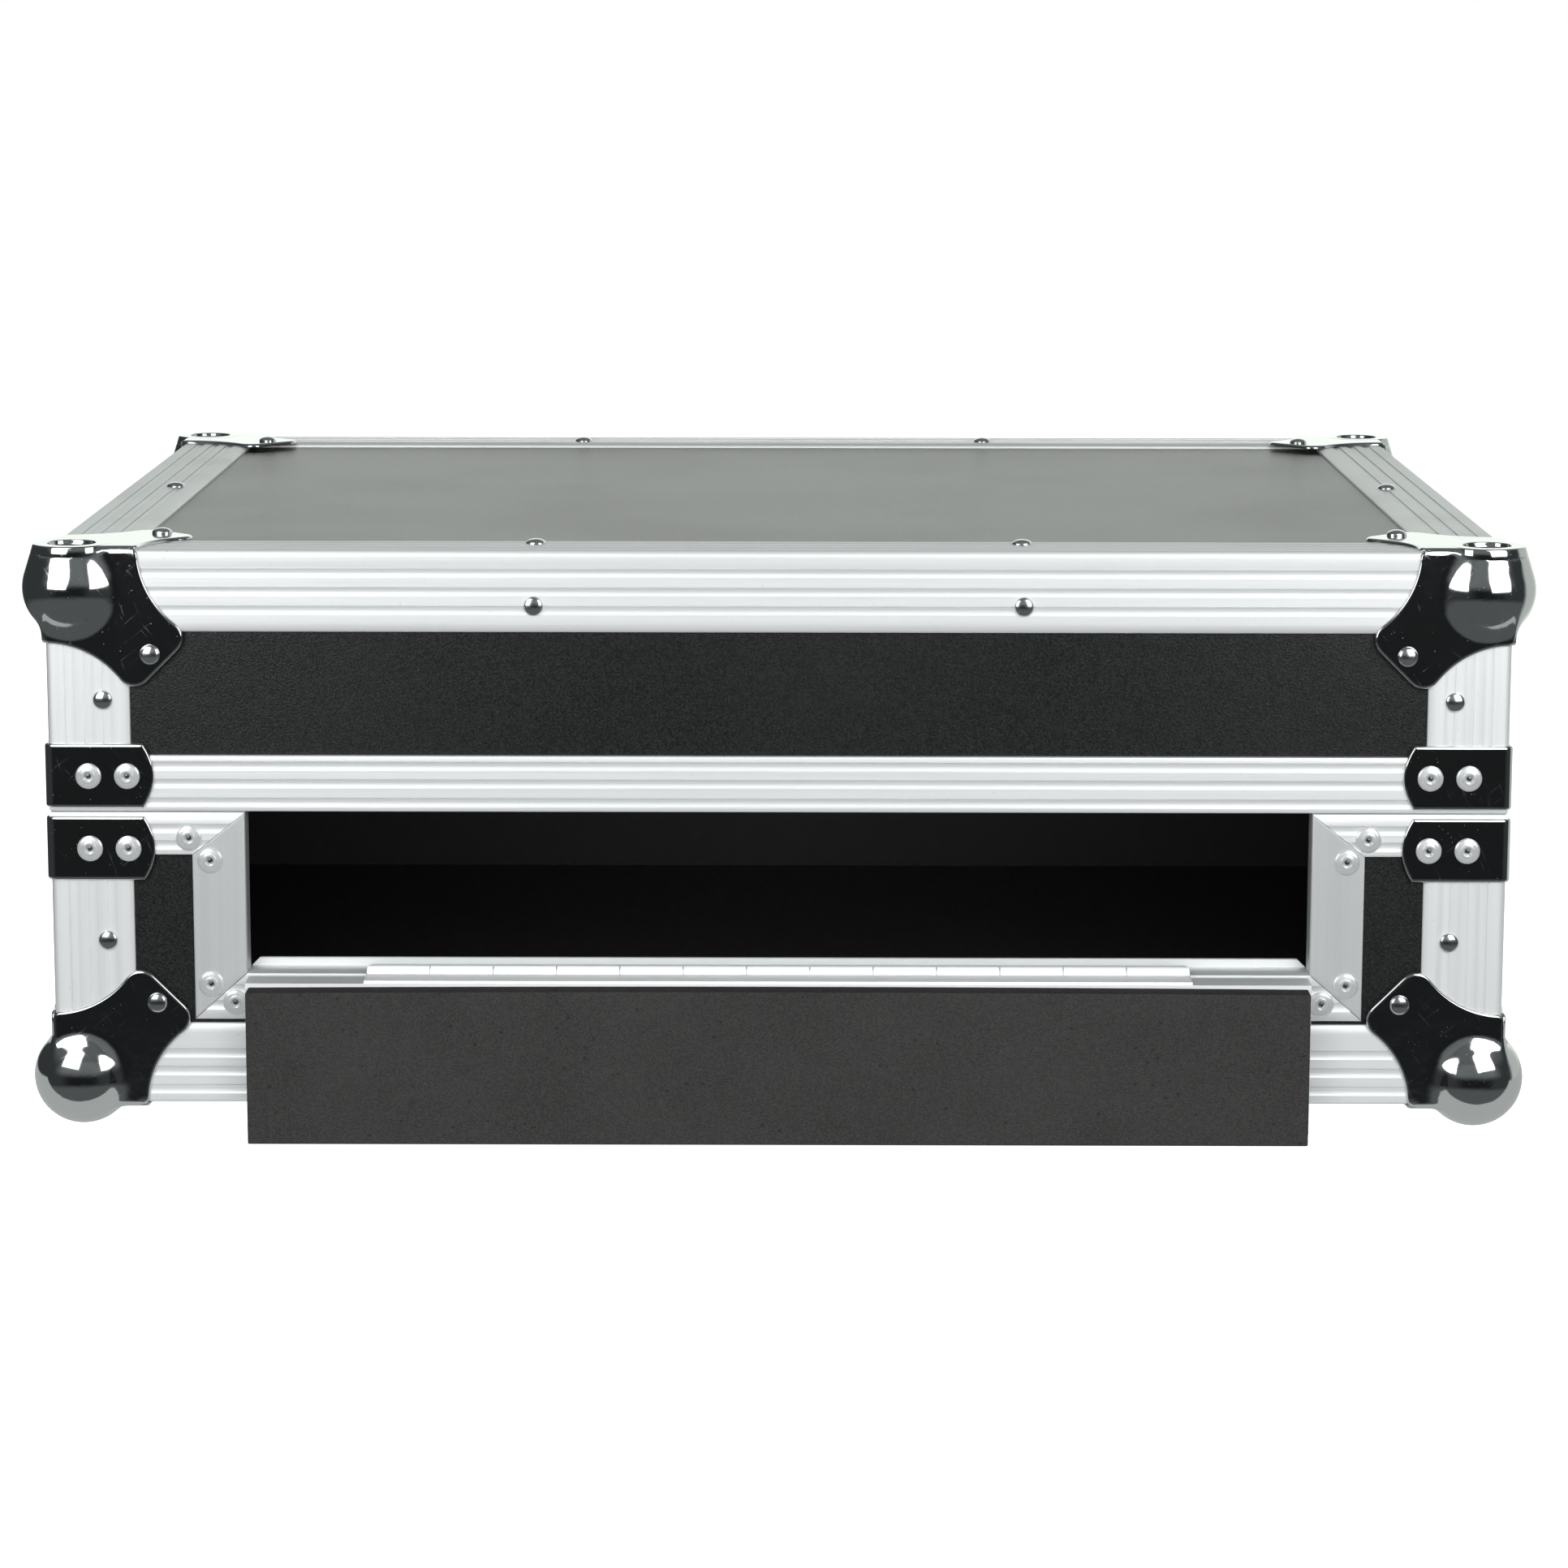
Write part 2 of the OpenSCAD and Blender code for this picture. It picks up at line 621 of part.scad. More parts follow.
module lid_dome_rivets() for (k = SIDES) {
    on_side(k) from_top() edge_rivets(k);
    at_corner(k) from_top() ball_corner_rivets();
    at_corner(k) post_rivets(lid_z + lid_post_rivet_z);
}

module brace_rivets() for (i = [0, 1]) {
    at = brace_rivet_in + i * brace_rivet_pitch;
    out_of(at, -corner_t, brace_h / 2) blind_rivet();
    translate([-corner_t, at, brace_h / 2]) rotate([0, -90, 0]) blind_rivet();
}
// Two rivets by each corner of the opening's frame, one on either side of the mitre
module frame_rivets() for (s = [-1, 1]) {
    out_of(s * (opening_w / 2 + frame_w + 1), 0, base_h - base_rim_h * 0.6) blind_rivet();
    out_of(s * (opening_w / 2 + frame_w * 0.66), 0, base_h - base_rim_h - 2) blind_rivet();
    out_of(s * (opening_w / 2 + frame_w * 0.68), 0, sill_z - 4) blind_rivet();
    out_of(s * (opening_w / 2 + 4.5), 0, sill_z - sill_h * 0.63) blind_rivet();
}
module base_blind_rivets() {
    for (k = SIDES) at_corner(k) translate([0, 0, base_h - brace_gap - brace_h]) brace_rivets();
    on_side(REAR) frame_rivets();
}
module lid_blind_rivets() for (k = SIDES) at_corner(k)
    translate([0, 0, lid_z + brace_gap]) brace_rivets();

// A rack rail on side k: a steel angle with three tapped holes in each rack unit
module rack_rail(k) color(STEEL) on_side(k) difference() {
    union() {
        translate([-rail_len / 2, wall_in, rail_z - rail_t])
            cube([rail_len, rail_in - wall_in, rail_t]);
        translate([-rail_len / 2, rail_in - rail_t, rail_z - rail_leg_h])
            cube([rail_len, rail_t, rail_leg_h]);
    }
    for (u = [0 : rack_units - 1], at = [1 / 7, 1 / 2, 6 / 7])
        translate([(u - rack_units / 2 + at) * rack_unit_h, rail_hole_in, rail_z - rail_t - over])
            cylinder(r = rack_hole_r, h = rail_t + 2 * over);
}
module rack_rail_left() rack_rail(LEFT);
module rack_rail_right() rack_rail(RIGHT);

// The battens carry the rails on the side walls, grooved for the ends of the mixer's screws
module rail_battens() color(WOOD) for (k = [RIGHT, LEFT]) on_side(k) difference() {
    translate([-rail_len / 2, wall_in, rail_z - rail_t - batten_h])
        cube([rail_len, rail_in - rail_t - wall_in, batten_h]);
    translate([-rail_len / 2 - over, rail_hole_in - batten_groove_w / 2,
        rail_z - rail_t - batten_groove_h])
        cube([rail_len + 2 * over, batten_groove_w, batten_groove_h + over]);
}

// The handle's plate and its two ears, on the plywood of the front wall
module handle_plate() color(STEEL) on_side(FRONT) {
    plate_w = 2 * (ear_x + ear_t + plate_margin);
    plate_z = pivot_z + ear_r - plate_h;
    on_face(leg_t - plate_t, plate_t) polygon(concat(
        arc([plate_w / 2 - ear_r, plate_z + ear_r], ear_r, -90, 0, 6),
        arc([plate_w / 2 - ear_r, plate_z + plate_h - ear_r], ear_r, 0, 90, 6),
        arc([ear_r - plate_w / 2, plate_z + plate_h - ear_r], ear_r, 90, 180, 6),
        arc([ear_r - plate_w / 2, plate_z + ear_r], ear_r, 180, 270, 6)));
    for (s = [0, 1]) mirror([s, 0, 0]) difference() {
        translate([ear_x + ear_t / 2, 0, 0]) along(ear_t) {
            translate([pivot_d, pivot_z]) circle(ear_r);
            polygon([[pivot_d, pivot_z + ear_r], [leg_t - plate_t, pivot_z + ear_r],
                [leg_t - plate_t, pivot_z - 1.6 * ear_r], [pivot_d, pivot_z - ear_r]]);
        }
        translate([ear_x - over, pivot_d, pivot_z]) rotate([0, 90, 0])
            cylinder(r = bail_r + ear_clear, h = ear_t + 2 * over);
    }
}

// The bail hangs from the ears: two pins, two arms, two bends and a bar inside the grip
module handle_bail() color(STEEL) on_side(FRONT) translate([0, pivot_d, pivot_z]) {
    for (s = [0, 1]) mirror([s, 0, 0]) {
        translate([arm_x, 0, 0]) rotate([0, 90, 0])
            cylinder(r = bail_r, h = bail_r + ear_gap + ear_t);
        translate([arm_x, 0, 0]) sphere(bail_r);
        translate([arm_x, 0, bend_r - bail_drop]) cylinder(r = bail_r, h = bail_drop - bend_r);
        translate([arm_x - bend_r, 0, bend_r - bail_drop]) rotate([90, 0, 0])
            rotate([0, 0, -90]) rotate_extrude(angle = 90) translate([bend_r, 0]) circle(bail_r);
    }
    translate([bend_r - arm_x, 0, -bail_drop]) rotate([0, 90, 0])
        cylinder(r = bail_r, h = bail_w - 2 * bend_r);
}

// The rubber grip: a sleeve with rounded ends and shallow finger rings
module handle_grip() color(RUBBER) on_side(FRONT)
    translate([-grip_len / 2, pivot_d, pivot_z - bail_drop]) rotate([0, 90, 0]) rotate_extrude()
        difference() {
            union() {
                translate([0, grip_round]) square([grip_r, grip_len - 2 * grip_round]);
                square([grip_r - grip_round, grip_len]);
                for (z = [grip_round, grip_len - grip_round])
                    translate([grip_r - grip_round, z]) circle(grip_round);
            }
            translate([-big, -over]) square([big + bail_r, grip_len + 2 * over]);
            for (i = [1 : ring_count])
                translate([grip_r + ring_depth, i * grip_len / (ring_count + 1)])
                    circle(2 * ring_depth);
        }

// A leaf of the piano hinge with every second knuckle, drawn lying on the sill
module hinge_leaf(first) color(STEEL) difference() {
    union() {
        translate([-hinge_len / 2, leaf_start, sill_z]) cube([hinge_len, leaf_w - leaf_start, leaf_t]);
        for (i = [first : 2 : knuckle_count - 1]) translate([knuckle_x(i), 0, 0]) {
            translate([0, hinge_d, sill_z]) cube([knuckle_len(), leaf_start - hinge_d + over, leaf_t]);
            translate([0, hinge_d, hinge_z]) rotate([0, 90, 0])
                cylinder(r = knuckle_r, h = knuckle_len());
        }
    }
    translate([-hinge_len / 2 - over, hinge_d, hinge_z]) rotate([0, 90, 0])
        cylinder(r = pin_r + pin_clear, h = hinge_len + 2 * over);
}
function knuckle_x(i) = i * knuckle_pitch - hinge_len / 2 + knuckle_gap / 2;
function knuckle_len() = knuckle_pitch - knuckle_gap;

module hinge_leaf_fixed() on_side(REAR) hinge_leaf(0);
module hinge_pin() color(STEEL) on_side(REAR) translate([-hinge_len / 2, hinge_d, hinge_z])
    rotate([0, 90, 0]) cylinder(r = pin_r, h = hinge_len);

// Swings what is drawn on the closed flap half a turn about the hinge pin, to hang open
module flap_open() on_side(REAR) translate([0, hinge_d, hinge_z]) rotate([180, 0, 0])
    translate([0, -hinge_d, -hinge_z]) children();

module hinge_leaf_moving() flap_open() translate([0, 0, 2 * hinge_z]) mirror([0, 0, 1])
    hinge_leaf(1);
module flap_panel() color(LAMINATE) flap_open()
    translate([leg_t - flap_w / 2, leg_t, flap_bottom + leg_t])
        cube([flap_w - 2 * leg_t, ply_t, flap_top - flap_bottom - 2 * leg_t]);

// The channel round the flap's plywood, mitred at its four corners
module channel_section() {
    square([rim_depth, leg_t]);
    square([leg_t, flap_edge_w]);
    translate([wall_in, 0]) square([inner_leg_t, inner_leg_h]);
}
module channel(len) intersection() {
    along(len) channel_section();
    on_face(0, rim_depth) mitred(len, flap_edge_w);
}
module flap_edging() color(ALUMINIUM) flap_open()
    translate([0, 0, (flap_bottom + flap_top) / 2]) for (s = [0, 1]) {
        mirror([0, 0, s]) translate([0, 0, (flap_bottom - flap_top) / 2]) channel(flap_w);
        mirror([s, 0, 0]) translate([-flap_w / 2, 0, 0]) rotate([0, 90, 0])
            channel(flap_top - flap_bottom);
    }
module flap_foam() color(FOAM) flap_open() translate([foam_in - flap_w / 2, rim_depth, foam_bottom])
    cube([flap_w - 2 * foam_in, foam_t, foam_top - foam_bottom]);

module lid_top() color(LAMINATE)
    translate([leg_t - case_w / 2, leg_t - case_d / 2, ball_drop + top_z - wall_in])
        cube([case_w - 2 * leg_t, case_d - 2 * leg_t, ply_t]);
module lid_wall(k, inset) color(LAMINATE)
    translate([inset - side_len(k) / 2, leg_t, lid_z + groove_floor])
        cube([side_len(k) - 2 * inset, ply_t, lid_h - groove_floor - wall_in]);
module lid_rear_wall() on_side(REAR) lid_wall(REAR, leg_t);
module lid_front_wall() on_side(FRONT) lid_wall(FRONT, leg_t);
module lid_side_wall(k) on_side(k) difference() {
    lid_wall(k, wall_in);
    dish_hole_above(pocket_w + 2 * sheet_t, dish_lid_h - flange_w + sheet_t);
}
module lid_left_wall() lid_side_wall(LEFT);
module lid_right_wall() lid_side_wall(RIGHT);
module lid_edge(k) on_side(k) from_top() difference() {
    edge(k);
    for (s = [0, 1]) mirror([s, 0, 0]) translate([-side_len(k) / 2, 0, 0]) dish_room();
}
module lid_edge_rear() lid_edge(REAR);
module lid_edge_right() lid_edge(RIGHT);
module lid_edge_front() lid_edge(FRONT);
module lid_edge_left() lid_edge(LEFT);
module lid_posts() color(ALUMINIUM) for (k = SIDES) at_corner(k) from_top() difference() {
    post(lid_h - lid_rim_h);
    dish_room();
}
module lid_rim_rear() color(ALUMINIUM) on_side(REAR) lid_rim(REAR);
module lid_rim_front() color(ALUMINIUM) on_side(FRONT) lid_rim(FRONT);
module lid_side_rim(k) color(ALUMINIUM) on_side(k) difference() {
    lid_rim(k);
    dish_hole_above(dish_w, dish_lid_h);
}
module lid_rim_left() lid_side_rim(LEFT);
module lid_rim_right() lid_side_rim(RIGHT);
module lid_lining() color(FOAM) translate([0, 0, ball_drop + top_z - wall_in - lining_t / 2])
    cube([case_w - 2 * (wall_in + lining_clear), case_d - 2 * (wall_in + lining_clear), lining_t],
        center = true);

// Half of a latch's dish: a flange on the plywood round a pocket, open at the parting line
module dish_half(h) difference() {
    union() {
        on_face(leg_t - sheet_t, sheet_t) tab(dish_w, h, dish_corner_r);
        on_face(leg_t - sheet_t, ply_t + sheet_t)
            tab(pocket_w + 2 * sheet_t, h - flange_w + sheet_t, dish_corner_r);
    }
    translate([0, 0, -over]) on_face(-over, pocket_floor + over)
        tab(pocket_w, h - flange_w + over, dish_corner_r - sheet_t);
}
module latch_dish(k) color(STEEL) on_side(k) translate([0, 0, base_h]) mirror([0, 0, 1])
    dish_half(dish_base_h);
module latch_dish_left() latch_dish(LEFT);
module latch_dish_right() latch_dish(RIGHT);

// The lid's half has the strike, a lip that the hook pulls down
module latch_strike(k) color(STEEL) on_side(k) translate([0, 0, lid_z]) {
    dish_half(dish_lid_h);
    translate([-strike_w / 2, pocket_floor - lip_u, strike_z - 2 * sheet_t - hook_lift / 2])
        cube([strike_w, lip_u, sheet_t]);
    translate([-strike_w / 2, pocket_floor - lip_u, strike_z - 2 * sheet_t - hook_lift / 2])
        cube([strike_w, sheet_t, 2 * sheet_t + hook_lift / 2]);
}
module latch_strike_left() latch_strike(LEFT);
module latch_strike_right() latch_strike(RIGHT);

// The wing turns on the dish's floor, with a waist, a finger rib and an eccentric cam behind it
module latch_wing(k) color(STEEL) on_side(k) translate([0, 0, wing_axis_z]) {
    on_face(pocket_floor - wing_u - wing_t, wing_t) difference() {
        circle(wing_r);
        for (s = [-1, 1]) translate([0, s * (wing_r + wing_notch_r / 2)]) circle(wing_notch_r);
    }
    translate([-wing_r * 0.8, pocket_floor - wing_u - wing_t - rib_h, -sheet_t])
        cube([wing_r * 1.6, rib_h, 2 * sheet_t]);
    on_face(pocket_floor - wing_u, wing_u - latch_clear) translate([0, cam_ecc]) circle(cam_r);
}
module latch_wing_left() latch_wing(LEFT);
module latch_wing_right() latch_wing(RIGHT);

// The hook at rest is let go, so it stands up and out of the strike's way
module latch_hook(k) color(STEEL) on_side(k) translate([0, pocket_floor - hook_u - hook_in, 0]) {
    yoke_z = wing_axis_z + cam_ecc;
    yoke_h = 2 * (cam_r + yoke_play);
    claw_z = lid_z + strike_z + latch_clear + hook_lift;
    on_face(-hook_t, hook_t) difference() {
        translate([-hook_w / 2, yoke_z - yoke_h / 2 - hook_frame])
            square([hook_w, claw_z + hook_t - yoke_z + yoke_h / 2 + hook_frame]);
        translate([-cam_r - cam_ecc - latch_clear, yoke_z - yoke_h / 2])
            square([2 * (cam_r + cam_ecc + latch_clear), yoke_h]);
        translate([hook_frame - hook_w / 2, yoke_z + yoke_h / 2 + hook_frame])
            square([hook_w - 2 * hook_frame, wing_axis_down - cam_r - hook_frame]);
    }
    translate([-hook_w / 2, -hook_t, claw_z]) cube([hook_w, hook_t + hook_in, hook_t]);
}
module latch_hook_left() latch_hook(LEFT);
module latch_hook_right() latch_hook(RIGHT);

base_floor();
base_rear_wall();
base_right_wall();
base_front_wall();
base_left_wall();
base_edge_rear();
base_edge_right();
base_edge_front();
base_edge_left();
base_posts();
base_rim_rear();
base_rim_right();
base_rim_front();
base_rim_left();
opening_sill();
opening_jamb_left();
opening_jamb_right();
base_ball_corners();
base_corner_braces();
base_dome_rivets();
base_blind_rivets();
rack_rail_left();
rack_rail_right();
rail_battens();
handle_plate();
handle_bail();
handle_grip();
hinge_leaf_fixed();
hinge_pin();
hinge_leaf_moving();
flap_panel();
flap_edging();
flap_foam();
lid_top();
lid_rear_wall();
lid_right_wall();
lid_front_wall();
lid_left_wall();
lid_edge_rear();
lid_edge_right();
lid_edge_front();
lid_edge_left();
lid_posts();
lid_rim_rear();
lid_rim_right();
lid_rim_front();
lid_rim_left();
lid_ball_corners();
lid_corner_braces();
lid_dome_rivets();
lid_blind_rivets();
lid_lining();
latch_dish_left();
latch_dish_right();
latch_strike_left();
latch_strike_right();
latch_wing_left();
latch_wing_right();
latch_hook_left();
latch_hook_right();
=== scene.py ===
"""Mixer flight case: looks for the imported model.

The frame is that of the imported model, in metres: x runs along the visible rear side, y points away from the
viewer, z is up, and the balls stand on z = 0. Shapes are drawn in millimetres and scaled as their mesh is built.
"""

import math
from functools import partial

import bmesh
import bpy
import numpy as np
from mathutils import Matrix, Vector


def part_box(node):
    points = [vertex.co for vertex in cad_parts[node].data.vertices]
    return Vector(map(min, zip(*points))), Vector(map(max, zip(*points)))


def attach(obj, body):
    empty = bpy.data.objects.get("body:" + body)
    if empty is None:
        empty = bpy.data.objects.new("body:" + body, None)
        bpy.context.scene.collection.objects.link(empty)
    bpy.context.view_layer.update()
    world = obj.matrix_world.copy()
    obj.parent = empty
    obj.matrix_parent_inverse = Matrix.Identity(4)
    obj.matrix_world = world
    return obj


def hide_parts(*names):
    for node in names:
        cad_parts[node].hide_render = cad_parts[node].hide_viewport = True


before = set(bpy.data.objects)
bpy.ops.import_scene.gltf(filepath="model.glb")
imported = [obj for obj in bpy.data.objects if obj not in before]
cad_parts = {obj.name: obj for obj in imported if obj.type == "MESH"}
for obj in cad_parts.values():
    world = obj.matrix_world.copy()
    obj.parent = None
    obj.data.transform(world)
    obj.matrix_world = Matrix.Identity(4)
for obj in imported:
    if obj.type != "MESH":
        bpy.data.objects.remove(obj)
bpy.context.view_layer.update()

MM = 0.001


# ---- Shader building -------------------------------------------------------

class Wire:
    """An output socket of a finish. Its operators add Math nodes, so a sum of wires reads as plain maths."""

    def __init__(self, finish, socket):
        self.finish = finish
        self.socket = socket

    def math(self, operation, *values):
        return self.finish.node("ShaderNodeMath", {"operation": operation}, list(values))

    def __add__(self, other):
        return self.math("ADD", self, other)

    def __sub__(self, other):
        return self.math("SUBTRACT", self, other)

    def __rsub__(self, other):
        return self.math("SUBTRACT", other, self)

    def __mul__(self, other):
        return self.math("MULTIPLY", self, other)

    __radd__ = __add__
    __rmul__ = __mul__

    def size(self):
        """The value without its sign."""
        return self.math("ABSOLUTE", self)

    def at_least(self, other):
        return self.math("MAXIMUM", self, other)

    def at_most(self, other):
        return self.math("MINIMUM", self, other)

    def step(self, low, high):
        """0 below low, 1 above high, smooth between."""
        return self.finish.node(
            "ShaderNodeMapRange",
            {"interpolation_type": "SMOOTHSTEP", "clamp": True},
            {"Value": self, "From Min": low, "From Max": high},
        )


class Finish:
    """A material on a Principled shader."""

    def __init__(self, name, **constants):
        self.material = bpy.data.materials.new(name)
        self.material.use_nodes = True
        self.tree = self.material.node_tree
        self.tree.nodes.clear()
        self.shader = self.tree.nodes.new("ShaderNodeBsdfPrincipled")
        output = self.tree.nodes.new("ShaderNodeOutputMaterial")
        self.tree.links.new(self.shader.outputs["BSDF"], output.inputs["Surface"])
        for socket, value in constants.items():
            self.shader.inputs[socket.replace("_", " ")].default_value = value

    def node(self, kind, settings=None, sockets=None, output=0):
        """Adds a node: its settings first, then the values or wires of its sockets, by name or in order."""
        made = self.tree.nodes.new(kind)
        for key, value in (settings or {}).items():
            setattr(made, key, value)
        pairs = enumerate(sockets) if isinstance(sockets, list) else (sockets or {}).items()
        for key, value in pairs:
            if isinstance(value, Wire):
                self.tree.links.new(value.socket, made.inputs[key])
            else:
                made.inputs[key].default_value = value
        return None if output is None else Wire(self, made.outputs[output])

    def place(self, stretch=(1, 1, 1), turn=(0, 0, 0)):
        """Coordinates of the piece in metres, turned first and then scaled."""
        place = self.node("ShaderNodeTexCoord", output="Object")
        if any(turn):
            place = self.node("ShaderNodeMapping", {"vector_type": "POINT"}, {"Vector": place, "Rotation": turn})
        return self.node("ShaderNodeMapping", {"vector_type": "POINT"}, {"Vector": place, "Scale": stretch})

    def parts(self, place):
        """The x, y and z of a place."""
        return [self.node("ShaderNodeSeparateXYZ", None, {"Vector": place}, output=axis) for axis in "XYZ"]

    def noise(self, place, scale, detail=3.0, roughness=0.5, distortion=0.0):
        return self.node("ShaderNodeTexNoise", {"noise_dimensions": "3D"},
                         {"Vector": place, "Scale": scale, "Detail": detail, "Roughness": roughness,
                          "Distortion": distortion}, output="Fac")

    def cells(self, place, scale, feature="F1"):
        return self.node("ShaderNodeTexVoronoi", {"feature": feature},
                         {"Vector": place, "Scale": scale}, output="Distance")

    def hairlines(self, stretch, turn, low, high):
        """Long thin marks along one way: the crests of a noise that is stretched and turned."""
        return self.noise(self.place(stretch, turn), 1.0, detail=2.0).step(low, high)

    def blend(self, factor, low, high):
        """The colour low where factor is 0 and high where it is 1."""
        return self.node("ShaderNodeMix", {"data_type": "RGBA", "clamp_factor": True},
                         {0: factor, 6: low, 7: high}, output=2)

    def bump(self, height, depth):
        """Relief whose height runs over the given depth in metres."""
        return self.node("ShaderNodeBump", None, {"Height": height, "Distance": depth, "Strength": 1.0})

    def feed(self, **wires):
        for socket, wire in wires.items():
            self.tree.links.new(wire.socket, self.shader.inputs[socket.replace("_", " ")])


def grey(value, tint=(1.0, 1.0, 1.0)):
    return (value * tint[0], value * tint[1], value * tint[2], 1.0)


# ---- Finishes: noise and cell scales are per metre -------------------------

# Narrow bands in metres between the inner and the outer faces of the case's panels
WALLS_X, WALLS_Y = (0.2538, 0.2546), (0.1978, 0.1986)
FLOOR_BAND, TOP_BAND = (0.0180, 0.0188), (0.2045, 0.2050)


def laminate_finish():
    """Black phenolic laminate: a fine pebbled press texture with paler tips, faint rubbed patches and dust. The
    faces inside the case are a lighter dark grey: partly their own plainer tone, partly painted light that
    brightens the dimly lit inside."""
    finish = Finish("black_laminate", Metallic=0.0, IOR=1.52)
    place = finish.place()
    pebble = finish.cells(place, 1500.0, "SMOOTH_F1")
    grain = finish.noise(place, 2200.0, detail=2.0, roughness=0.6)
    tips = grain.step(0.40, 0.66)
    rubbed = finish.noise(place, 9.0, detail=4.0, roughness=0.6).step(0.38, 0.72)
    dust = finish.noise(place, 1500.0, detail=1.0).step(0.72, 0.80)
    x, y, z = finish.parts(place)
    outside = (x.size().step(*WALLS_X) + y.size().step(*WALLS_Y) + (1.0 - z.step(*FLOOR_BAND))
               + z.step(*TOP_BAND)).at_most(1.0)
    colour = finish.blend(rubbed, grey(0.0070, (0.96, 1.0, 1.04)), grey(0.0095, (0.98, 1.0, 1.02)))
    colour = finish.blend(tips * 0.85, colour, grey(0.024, (0.97, 1.0, 1.01)))
    colour = finish.blend(dust * 0.15, colour, grey(0.12))
    # Painted light: the inner faces take a lighter grey, partly their own plainer tone and partly painted light
    # that brightens the dim inside of the case
    colour = finish.blend(outside, grey(0.036), colour)
    finish.feed(
        Base_Color=colour,
        Roughness=0.28 + rubbed * 0.025 + tips * 0.06,
        Normal=finish.bump(pebble + grain * 0.8, 0.11 * MM),
    )
    return finish.material


ALUMINIUM_TINT = (0.970, 0.998, 1.0)


def aluminium_finish(name, stretch, base=0.86, roughness=0.40, metallic=0.45):
    """Satin anodised extrusion: fine drawing lines along its length, faint cloudy bands, hairline scratches."""
    finish = Finish(name, Metallic=metallic, IOR=1.45)
    along = finish.place(stretch)
    place = finish.place()
    lines = finish.noise(along, 3000.0, roughness=0.6)
    bands = finish.noise(along, 420.0, detail=2.0)
    marks = finish.noise(place, 24.0, detail=4.0, roughness=0.6).step(0.46, 0.74)
    scratch = finish.hairlines((70, 1100, 500), (0.4, 0.3, 0.6), 0.735, 0.765)
    clear, clouded, marked, scratched = (grey(base * share, ALUMINIUM_TINT) for share in (1.0, 0.965, 0.90, 0.6))
    colour = finish.blend(bands.step(0.35, 0.65), clouded, clear)
    colour = finish.blend(marks * 0.3, colour, marked)
    colour = finish.blend(scratch * 0.3, colour, scratched)
    finish.feed(
        Base_Color=colour,
        Roughness=roughness + bands * 0.06 + marks * 0.05 + scratch * 0.1,
        Normal=finish.bump(lines + bands * 0.6, 0.03 * MM),
    )
    return finish.material


CHROME_TINT = (0.975, 1.0, 1.0)


def chrome_finish(name="bright_chrome", base=0.70, roughness=0.07):
    """Chrome on pressed steel: a shallow orange peel, fine crossing scratches that are rougher and carry a painted
    highlight in a paler colour, and specks.
    """
    finish = Finish(name, Metallic=1.0)
    place = finish.place()
    peel = finish.noise(place, 150.0, detail=2.0)
    specks = finish.cells(place, 620.0).step(0.13, 0.07)
    few = finish.noise(place, 200.0, detail=1.0).step(0.54, 0.62)
    worn_here = finish.noise(place, 70.0, detail=2.0).step(0.42, 0.62)
    one_way = finish.hairlines((60, 60, 2100), (0.5, 0.62, 0.7), 0.66, 0.72)
    other_way = finish.hairlines((2100, 70, 70), (0.9, 0.75, 0.3), 0.67, 0.73)
    third_way = finish.hairlines((50, 50, 1600), (1.1, -0.9, 0.2), 0.67, 0.73)
    scratch_wear_and_glint = ((one_way + other_way + third_way) * worn_here).at_most(1.0)
    spots = specks * few
    # Painted highlight: the scratches take a paler colour that stands for the light they catch, on top of their
    # real roughness
    colour = finish.blend(scratch_wear_and_glint * 0.3, grey(base, CHROME_TINT), grey(base * 1.2, CHROME_TINT))
    colour = finish.blend(spots * 0.7, colour, grey(0.75))
    finish.feed(
        Base_Color=colour,
        Roughness=roughness + scratch_wear_and_glint * 0.18 + spots * 0.4 + peel * 0.04,
        Normal=finish.bump(peel, 0.07 * MM),
    )
    return finish.material


ZINC_TINT = (1.0, 1.0, 1.02)


def zinc_finish():
    """Bright zinc plate on pressed steel: soft crystalline clouding, brush marks and dull spots."""
    finish = Finish("zinc_plate", Metallic=1.0)
    place = finish.place()
    cloud = finish.cells(place, 140.0, "SMOOTH_F1")
    brushed = finish.noise(finish.place((1, 1, 30)), 260.0)
    spots = finish.noise(place, 420.0, detail=2.0).step(0.62, 0.72)
    colour = finish.blend(cloud, grey(0.56, ZINC_TINT), grey(0.68, ZINC_TINT))
    colour = finish.blend(spots * 0.25, colour, grey(0.40))
    finish.feed(
        Base_Color=colour,
        Roughness=0.24 + cloud * 0.10 + spots * 0.12,
        Normal=finish.bump(brushed, 0.03 * MM),
    )
    return finish.material


def foam_finish(name="grey_foam", tone=0.040):
    """Open-cell foam: tiny dark pores between lighter struts, with soft blotches and specks of dust."""
    finish = Finish(name, Metallic=0.0, Roughness=0.96, IOR=1.3, Specular_IOR_Level=0.2)
    place = finish.place()
    pores = finish.cells(place, 1500.0).step(0.0, 0.70)
    fine = finish.noise(place, 2400.0, roughness=0.6)
    blotch = finish.noise(place, 22.0, detail=4.0, roughness=0.6)
    pits = finish.cells(place, 260.0).step(0.20, 0.12) * finish.noise(place, 90.0, detail=1.0).step(0.52, 0.60)
    dust = finish.noise(place, 1300.0, detail=1.0).step(0.70, 0.78)
    colour = finish.blend(pores, grey(tone * 0.78), grey(tone * 1.10, (0.99, 1.01, 0.96)))
    colour = finish.blend(blotch.step(0.3, 0.7) * 0.4, colour, grey(tone * 1.35, (0.99, 1.01, 0.97)))
    colour = finish.blend(pits * 0.5, colour, grey(tone * 0.45))
    colour = finish.blend(dust * 0.12, colour, grey(0.25))
    finish.feed(Base_Color=colour, Normal=finish.bump(pores * 0.7 + fine * 0.5 - pits * 0.5, 0.35 * MM))
    return finish.material


